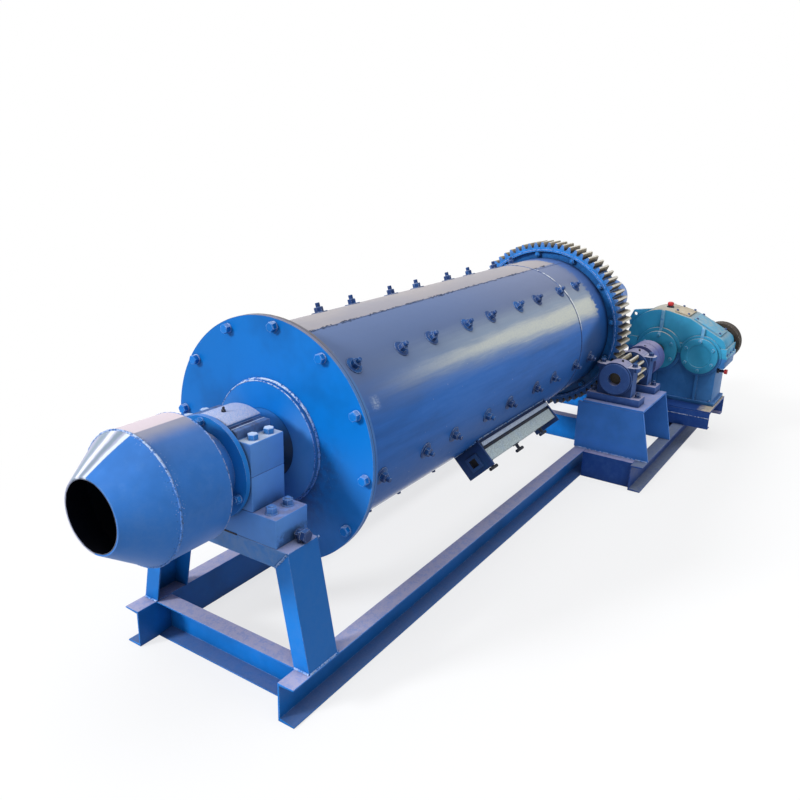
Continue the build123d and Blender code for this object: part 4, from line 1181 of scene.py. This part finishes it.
class MakeFlangeBolts(bpy.types.Operator):
    """Bolts of the end plates, the ring flanges and the gear flange"""

    bl_idname = "mill.flange_bolts"
    bl_label = "Flange bolts"

    def execute(self, context):
        radius, across = sizes().plate_circle, sizes().flange_bolt
        angles = [4.9 + 30 * number for number in range(12)]
        for name, x, direction, spin, fitting in (
            ("feed_plate_bolts", PLATE_X, -ALONG, 0.5, (21 * MM,)),
            ("feed_plate_nuts", PLATE_X + 30 * MM, ALONG, 0.3, (0, 10 * MM)),
            ("discharge_plate_bolts", HEAD_X, ALONG, 0.5, (21 * MM,)),
        ):
            places = [towards(on_circle(x, radius, a), direction, spin * a) for a in angles]
            bolts = copies(hex_bolt(across, *fitting), places)
            dressed(name, bolts, "drum", "bolt_blue")
        angles = [85.8 + 120 * number for number in range(3)]
        points = [on_circle(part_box("feed_ring_flange")[0].x, sizes().ring_circle, a) for a in angles]
        places = [towards(point, -ALONG, a) for point, a in zip(points, angles)]
        places += [towards(mirrored(point), ALONG, a) for point, a in zip(points, angles)]
        bolt = hex_bolt(sizes().ring_bolt, 17 * MM, 6 * MM)
        dressed("ring_flange_bolts", copies(bolt, places), "drum", "bolt_gear")
        flange_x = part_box("drum_shell")[1].x - 25 * MM
        points = [on_circle(flange_x, sizes().gear_circle, 50 + 30 * n) for n in range(12)]
        places = [towards(point, -ALONG, n) for n, point in enumerate(points)]
        bolt = hex_bolt(sizes().gear_bolt, 19 * MM, 8 * MM)
        dressed("gear_flange_bolts", copies(bolt, places), "drum", "bolt_gear")
        return {"FINISHED"}


class MakeLinerBolts(bpy.types.Operator):
    """Liner bolts of the shell, on round washers, in six rows"""

    bl_idname = "mill.liner_bolts"
    bl_label = "Liner bolts"

    def execute(self, context):
        along = [165] + [start + 572 * k for k in range(4) for start in (497, 742)]
        places = []
        for angle in range(12, 372, 60):
            for x in along:
                point = on_circle(PLATE_X + x * MM, SHELL_SKIN * MM, angle)
                places.append(towards(point, outward(angle), 0.01 * x))
        bolt = hex_bolt(sizes().liner_bolt, 37 * MM, 22 * MM)
        dressed("liner_bolts", copies(bolt, places), "drum", "liner_navy")
        return {"FINISHED"}


class MakeWelds(bpy.types.Operator):
    """Weld beads of the hubs, the shell seams, the feeder and the reducer's base"""

    bl_idname = "mill.welds"
    bl_label = "Welds and seams"

    def execute(self, context):
        bead = sizes().weld
        for name, edge, x, radius, size, material in (
            ("feed_hub_weld", PLATE_X, -2, HUB_WELD_RADIUS, 1, "weld_hub"),
            ("feed_hub_edge_weld", PLATE_X, -24, HUB_WELD_RADIUS - 3, 0.4, "weld_hub"),
            ("discharge_hub_weld", HEAD_X, 2, HUB_WELD_RADIUS, 1, "weld_hub"),
            ("shell_cross_seam", PLATE_X, CROSS_SEAM_X, SHELL_RADIUS, 0.55, "weld_dark"),
            ("shell_flange_weld", PLATE_X, 31, SHELL_RADIUS, 0.8, "weld_dark"),
            ("feeder_cone_weld", PLATE_X, CONE_X + 2, 243, 0.7, "weld_crumbs"),
            ("feeder_back_weld", PLATE_X, -450, 240.5, 0.6, "weld_blue"),
            ("ring_gear_step", PLATE_X, 2720, 506, 0.35, "weld_blue"),
        ):
            ring = bead_ring(edge + x * MM, radius * MM, bead * size)
            dressed(name, [ring], "drum", material, WELD_SMOOTH)
        seams = []
        for start, end, angle in ((32, CROSS_SEAM_X - 1, 102), (CROSS_SEAM_X + 1, 2690, 104)):
            ends = [on_circle(PLATE_X + x * MM, SHELL_SKIN * MM, angle) for x in (start, end)]
            seams.append(bead_line(*ends, sizes().seam, 1.7))
        dressed("shell_long_seams", seams, "drum", "weld_dark", WELD_SMOOTH)
        base = bead_line(at(3400, -1030, 250), at(3400, -353, 250), bead * 0.5)
        dressed("reducer_base_seam", [base], "frame", "weld_pale", WELD_SMOOTH)
        return {"FINISHED"}


class MakeDrive(bpy.types.Operator):
    """Ring gear, pinion, pinion bearings, shafts, coupling and wheel"""

    bl_idname = "mill.drive"
    bl_label = "Drive line"

    def execute(self, context):
        for node, material in (
            ("ring_gear", "ring_gear_metal"), ("pinion", "pinion_metal"), ("pinion_shaft", "oily_steel"),
            ("coupling_halves", "coupling_blue"), ("output_shaft", "oily_steel"),
            ("input_shaft", "oily_steel"), ("input_wheel", "wheel_iron"),
        ):
            paint_node(node, material)
        for node in ("plummer_housings", "plummer_caps"):
            softened(node, node + "_casting", sizes().edge, "plummer_blue")
        across, sides = sizes().plummer_bolt, (-1, 1)
        lugs = [self.by_shaft(x, side * 104, 84) for x in PLUMMER_MIDDLES for side in sides]
        bolt = hex_bolt(across, 18 * MM)
        standing_bolts("plummer_lug_bolts", lugs, bolt, "bolt_dark")
        feet = [self.by_shaft(x, side * 143, -111) for x in PLUMMER_MIDDLES for side in sides]
        bolt = hex_bolt(across, 20 * MM, 12 * MM)
        standing_bolts("plummer_foot_bolts", feet, bolt, "bolt_dark")
        nipple = crown(prism(10, 7 * MM, -2 * MM, 12 * MM), 2 * MM, 3 * MM)
        tops = [self.by_shaft(x, -22, 105) for x in PLUMMER_MIDDLES]
        standing_bolts("plummer_nipples", tops, nipple, "black_steel")
        self.turned_faces()
        self.coupling_pins()
        return {"FINISHED"}

    def by_shaft(self, x, y, z):
        """A place in millimetres with y and z from the pinion's axis."""
        return at(x, (PINION_AXIS.y - AXIS.y) / MM + y, PINION_AXIS.z / MM + z)

    def turned_faces(self):
        """The round turned faces at the outer ends of the two pinion bearings, open for the shaft."""
        faces = []
        for x, direction in ((2573, -ALONG), (3043, ALONG)):
            disc = crown(prism(64, 99 * MM, 0, 5 * MM), 4 * MM, 3 * MM)
            opening = prism(48, 42 * MM, -20 * MM, 60 * MM)
            applied(disc, "BOOLEAN", object=opening, operation="DIFFERENCE", solver="EXACT")
            bpy.data.objects.remove(opening)
            place = Vector((PLATE_X + x * MM, PINION_AXIS.y, PINION_AXIS.z))
            faces.append(moved(disc, towards(place, direction)))
        dressed("plummer_turned_faces", faces, "frame", "plummer_face")

    def coupling_pins(self):
        """Pins through the two coupling halves, and a set screw in the driven half."""
        pins = []
        for angle in range(39, 399, 60):
            start = on_circle(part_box("coupling_halves")[0].x - 9 * MM, 84 * MM, angle, PINION_AXIS)
            pins.append(rod(start, start + ALONG * 20 * MM, 12 * MM, 6, 0.2))
        spot = on_circle(PLATE_X + 3118 * MM, 111 * MM, 99, PINION_AXIS)
        pins.append(rod(spot, spot + outward(99) * 5 * MM, 9 * MM, 12, 0.4))
        dressed("coupling_pins", pins, "pinion_line", "black_steel")


class MakeReducer(bpy.types.Operator):
    """Reducer on its channels, with bolts, breather, oil plug and cover plates"""

    bl_idname = "mill.reducer"
    bl_label = "Reducer"

    def execute(self, context):
        thin, cast = sizes().rolled_edge, sizes().edge
        for part, width, material, slot in (
            ("base_channels", thin, "channel_blue", "stand_navy"),
            ("base_plate", thin, "base_plate", "cover_tan"),
            ("lower_case", cast, "lower_teal", "reducer_teal"),
            ("upper_case", cast, "teal", "reducer_teal"),
            ("bearing_covers", cast * 0.7, "teal", "reducer_teal"),
            ("inspection_covers", thin, "sand", "cover_tan"),
        ):
            softened(f"reducer_{part}", f"reducer_{part}_body", width, material)
        self.cover_bolts()
        self.case_bolts()
        self.plate_screws()
        self.breather_and_plug()
        return {"FINISHED"}

    def cover_bolts(self):
        """Rings of bolts in the round covers at both ends of the shafts."""
        low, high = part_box("reducer_bearing_covers")
        places = []
        for axis, x, direction, radius, count, first in (
            (PINION_AXIS, low.x, -ALONG, 112, 6, 28), (MIDDLE_AXIS, low.x, -ALONG, 106, 6, 28),
            (PINION_AXIS, high.x, ALONG, 112, 6, 28), (INPUT_AXIS, high.x, ALONG, 43, 4, 45),
        ):
            for number in range(count):
                point = on_circle(x, radius * MM, first + 360 / count * number, axis)
                places.append(towards(point, direction, number))
        bolts = copies(hex_bolt(sizes().cover_bolt, 12 * MM), places)
        dressed("reducer_cover_bolts", bolts, "frame", "bolt_teal")

    def case_bolts(self):
        """Bolts of the split flange and the foot."""
        flange = [at(x, y, 677.9) for x in (3600, 3700, 3800) for y in (-334, -1051)]
        bolt = hex_bolt(sizes().case_bolt, 10.5 * MM, 6 * MM)
        standing_bolts("reducer_flange_bolts", flange, bolt, "bolt_worn")
        foot_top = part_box("reducer_lower_case")[0].z / MM + 24
        feet = [at(x, y, foot_top) for x in (3550, 3850) for y in (-395, -990)]
        bolt = hex_bolt(sizes().case_bolt, 0, 8 * MM)
        standing_bolts("reducer_foot_bolts", feet, bolt, "bolt_worn")

    def plate_screws(self):
        """Cap screws in the corners of the two plates on the case."""
        crown_out, slope_out = Vector((0, -0.22, 0.97)), Vector((0, -0.46, 0.89))
        places = []
        for y, z, out in (
            (-666, 950, crown_out), (-748, 931.5, crown_out), (-812, 907.5, slope_out),
            (-978, 821.5, slope_out),
        ):
            places += [towards(at(x, y, z - 0.6), out, 0.01 * x) for x in (3608, 3792)]
        screws = copies(hex_bolt(sizes().plate_screw, 9 * MM), places)
        dressed("reducer_plate_screws", screws, "frame", "bolt_dark")

    def breather_and_plug(self):
        """Breather with its red cap on the crown, and the red oil plug low on the end."""
        foot = Matrix.Translation(at(3700, -590, PINION_AXIS.z / MM + 289))
        base = [
            crown(prism(20, 25 * MM, 0, 10 * MM), 3 * MM, 2 * MM),
            crown(prism(16, 13 * MM, 10 * MM, 8 * MM), 2 * MM, 1 * MM),
        ]
        base = [moved(piece, foot) for piece in base]
        dressed("breather_base", base, "frame", "black_steel")
        cap = crown(crown(prism(24, 22 * MM, 17 * MM, 16 * MM), 3 * MM, 5 * MM), 6 * MM, 3 * MM)
        dressed("breather_cap", [moved(cap, foot)], "frame", "red_plastic", 50)
        root, stem_end, collar_end, head_start, head_end = [
            at(3610, y, CASE_PLUG_Z) for y in (-999, -1052, -1014, -1048, -1068)
        ]
        stem = [rod(root, stem_end, 10 * MM, 12), rod(root, collar_end, 19 * MM, 6, 0.2)]
        dressed("plug_stem", stem, "frame", "black_steel")
        plug = [rod(head_start, head_end, 17 * MM, 20, 0.3)]
        dressed("oil_plug", plug, "frame", "red_plastic")


class MakeStage(bpy.types.Operator):
    """Floor, lamps, world and camera"""

    bl_idname = "mill.stage"
    bl_label = "Stage"

    def execute(self, context):
        make_floor()
        make_world()
        for lamp in LAMPS:
            soft_sun(*lamp)
        make_camera()
        return {"FINISHED"}


def seen_directly(tree):
    """1 for camera, mirror and glass rays, which see the plain white surroundings."""
    paths = tree.nodes.new("ShaderNodeLightPath")
    camera, glossy, clear = [
        Value(tree, paths.outputs[name])
        for name in ("Is Camera Ray", "Is Glossy Ray", "Is Transmission Ray")
    ]
    return camera.larger(glossy).larger(clear)


def make_floor():
    """A pale floor that keeps the shadow near the mill and turns plain white further out."""
    only()
    bpy.ops.mesh.primitive_plane_add(size=120, location=(0, 0, -0.5 * MM))
    floor = fresh()
    floor.name = "floor"
    ground = Finish("pale_floor", Roughness=0.9, Specular_IOR_Level=0.0)
    seen = seen_directly(ground.tree)
    pale = ground.mix(ink("floor", 0.97), ink("floor"), ground.noise(1.5, 3.0))
    ground.set("Base Color", ground.mix(ink("floor", 0.5), pale, seen))
    ahead, aside = ground.x / 3.6, ground.y / 2.0
    reach = (ahead * ahead + aside * aside) ** 0.5
    white = ground.node("Emission", {}, {"Color": (1.0, 1.0, 1.0), "Strength": 1.0})
    share = seen * (0.72 + 0.28 * reach.ramp(0.75, 1.5))
    matt = Value(ground.tree, ground.shader.outputs[0])
    blend = ground.node("MixShader", {}, {0: share, 1: matt, 2: white})
    output = next(node for node in ground.tree.nodes if node.type == "OUTPUT_MATERIAL")
    ground.tree.links.new(blend.socket, output.inputs["Surface"])
    floor.data.materials.append(ground.material)


def make_world():
    """Soft white light from all sides, plain white where it is seen directly."""
    world = bpy.data.worlds.new("studio")
    bpy.context.scene.world = world
    world.use_nodes = True
    tree = world.node_tree
    tree.nodes.clear()
    light = tree.nodes.new("ShaderNodeBackground")
    output = tree.nodes.new("ShaderNodeOutputWorld")
    tree.links.new(light.outputs[0], output.inputs[0])
    light.inputs["Color"].default_value = (1, 1, 1, 1)
    plug(tree, light.inputs["Strength"], 0.34 + seen_directly(tree) * 0.66)


def soft_sun(name, towards_lamp, strength, width):
    """A broad soft lamp far away, so that both ends of the mill get the same light."""
    data = bpy.data.lights.new(name, "SUN")
    data.energy = strength
    data.angle = radians(width)
    obj = bpy.data.objects.new(name, data)
    obj.rotation_euler = Vector(towards_lamp).to_track_quat("Z", "Y").to_euler()
    bpy.context.collection.objects.link(obj)


def make_camera():
    """The photo's camera, with its place, turns and lens fitted to the photo."""
    data = bpy.data.cameras.new("photo_camera")
    camera = bpy.data.objects.new("photo_camera", data)
    bpy.context.collection.objects.link(camera)
    yaw, pitch, roll = CAMERA_TURNS
    ahead = Vector((cos(yaw) * cos(pitch), sin(yaw) * cos(pitch), -sin(pitch)))
    right = Vector((sin(yaw), -cos(yaw), 0))
    down = ahead.cross(right)
    level_right = cos(roll) * right + sin(roll) * down
    level_down = cos(roll) * down - sin(roll) * right
    turn = Matrix((level_right, -level_down, -ahead)).transposed()
    feed_end = Vector((PLATE_X, AXIS.y, AXIS.z))
    camera.matrix_world = Matrix.Translation(feed_end + CAMERA_PLACE) @ turn.to_4x4()
    data.sensor_width = SENSOR
    data.lens = SENSOR * FOCAL_PIXELS / PICTURE_PIXELS
    data.clip_end = 200
    bpy.context.scene.camera = camera
    bpy.context.scene.view_settings.view_transform = "Standard"


OPERATORS = (
    MakeStage, MakeFrame, MakeBearings, MakeDrum, MakeHatch, MakeFlangeBolts, MakeLinerBolts, MakeWelds,
    MakeDrive, MakeReducer,
)


class MillPanel(bpy.types.Panel):
    """Buttons for the pieces of the mill"""

    bl_idname = "VIEW3D_PT_ball_mill"
    bl_label = "Ball mill"
    bl_space_type = "VIEW_3D"
    bl_region_type = "UI"
    bl_category = "Ball mill"

    def draw(self, context):
        for operator in OPERATORS:
            self.layout.operator(operator.bl_idname)


def register():
    for item in (MillSizes, MillColours, *OPERATORS, MillPanel):
        bpy.utils.register_class(item)
    bpy.types.Scene.mill_sizes = bpy.props.PointerProperty(type=MillSizes)
    bpy.types.Scene.mill_colours = bpy.props.PointerProperty(type=MillColours)


def unregister():
    del bpy.types.Scene.mill_colours
    del bpy.types.Scene.mill_sizes
    for item in reversed((MillSizes, MillColours, *OPERATORS, MillPanel)):
        bpy.utils.unregister_class(item)


def main():
    register()
    for operator in OPERATORS:
        group, name = operator.bl_idname.split(".")
        getattr(getattr(bpy.ops, group), name)()


if __name__ == "__main__":
    main()
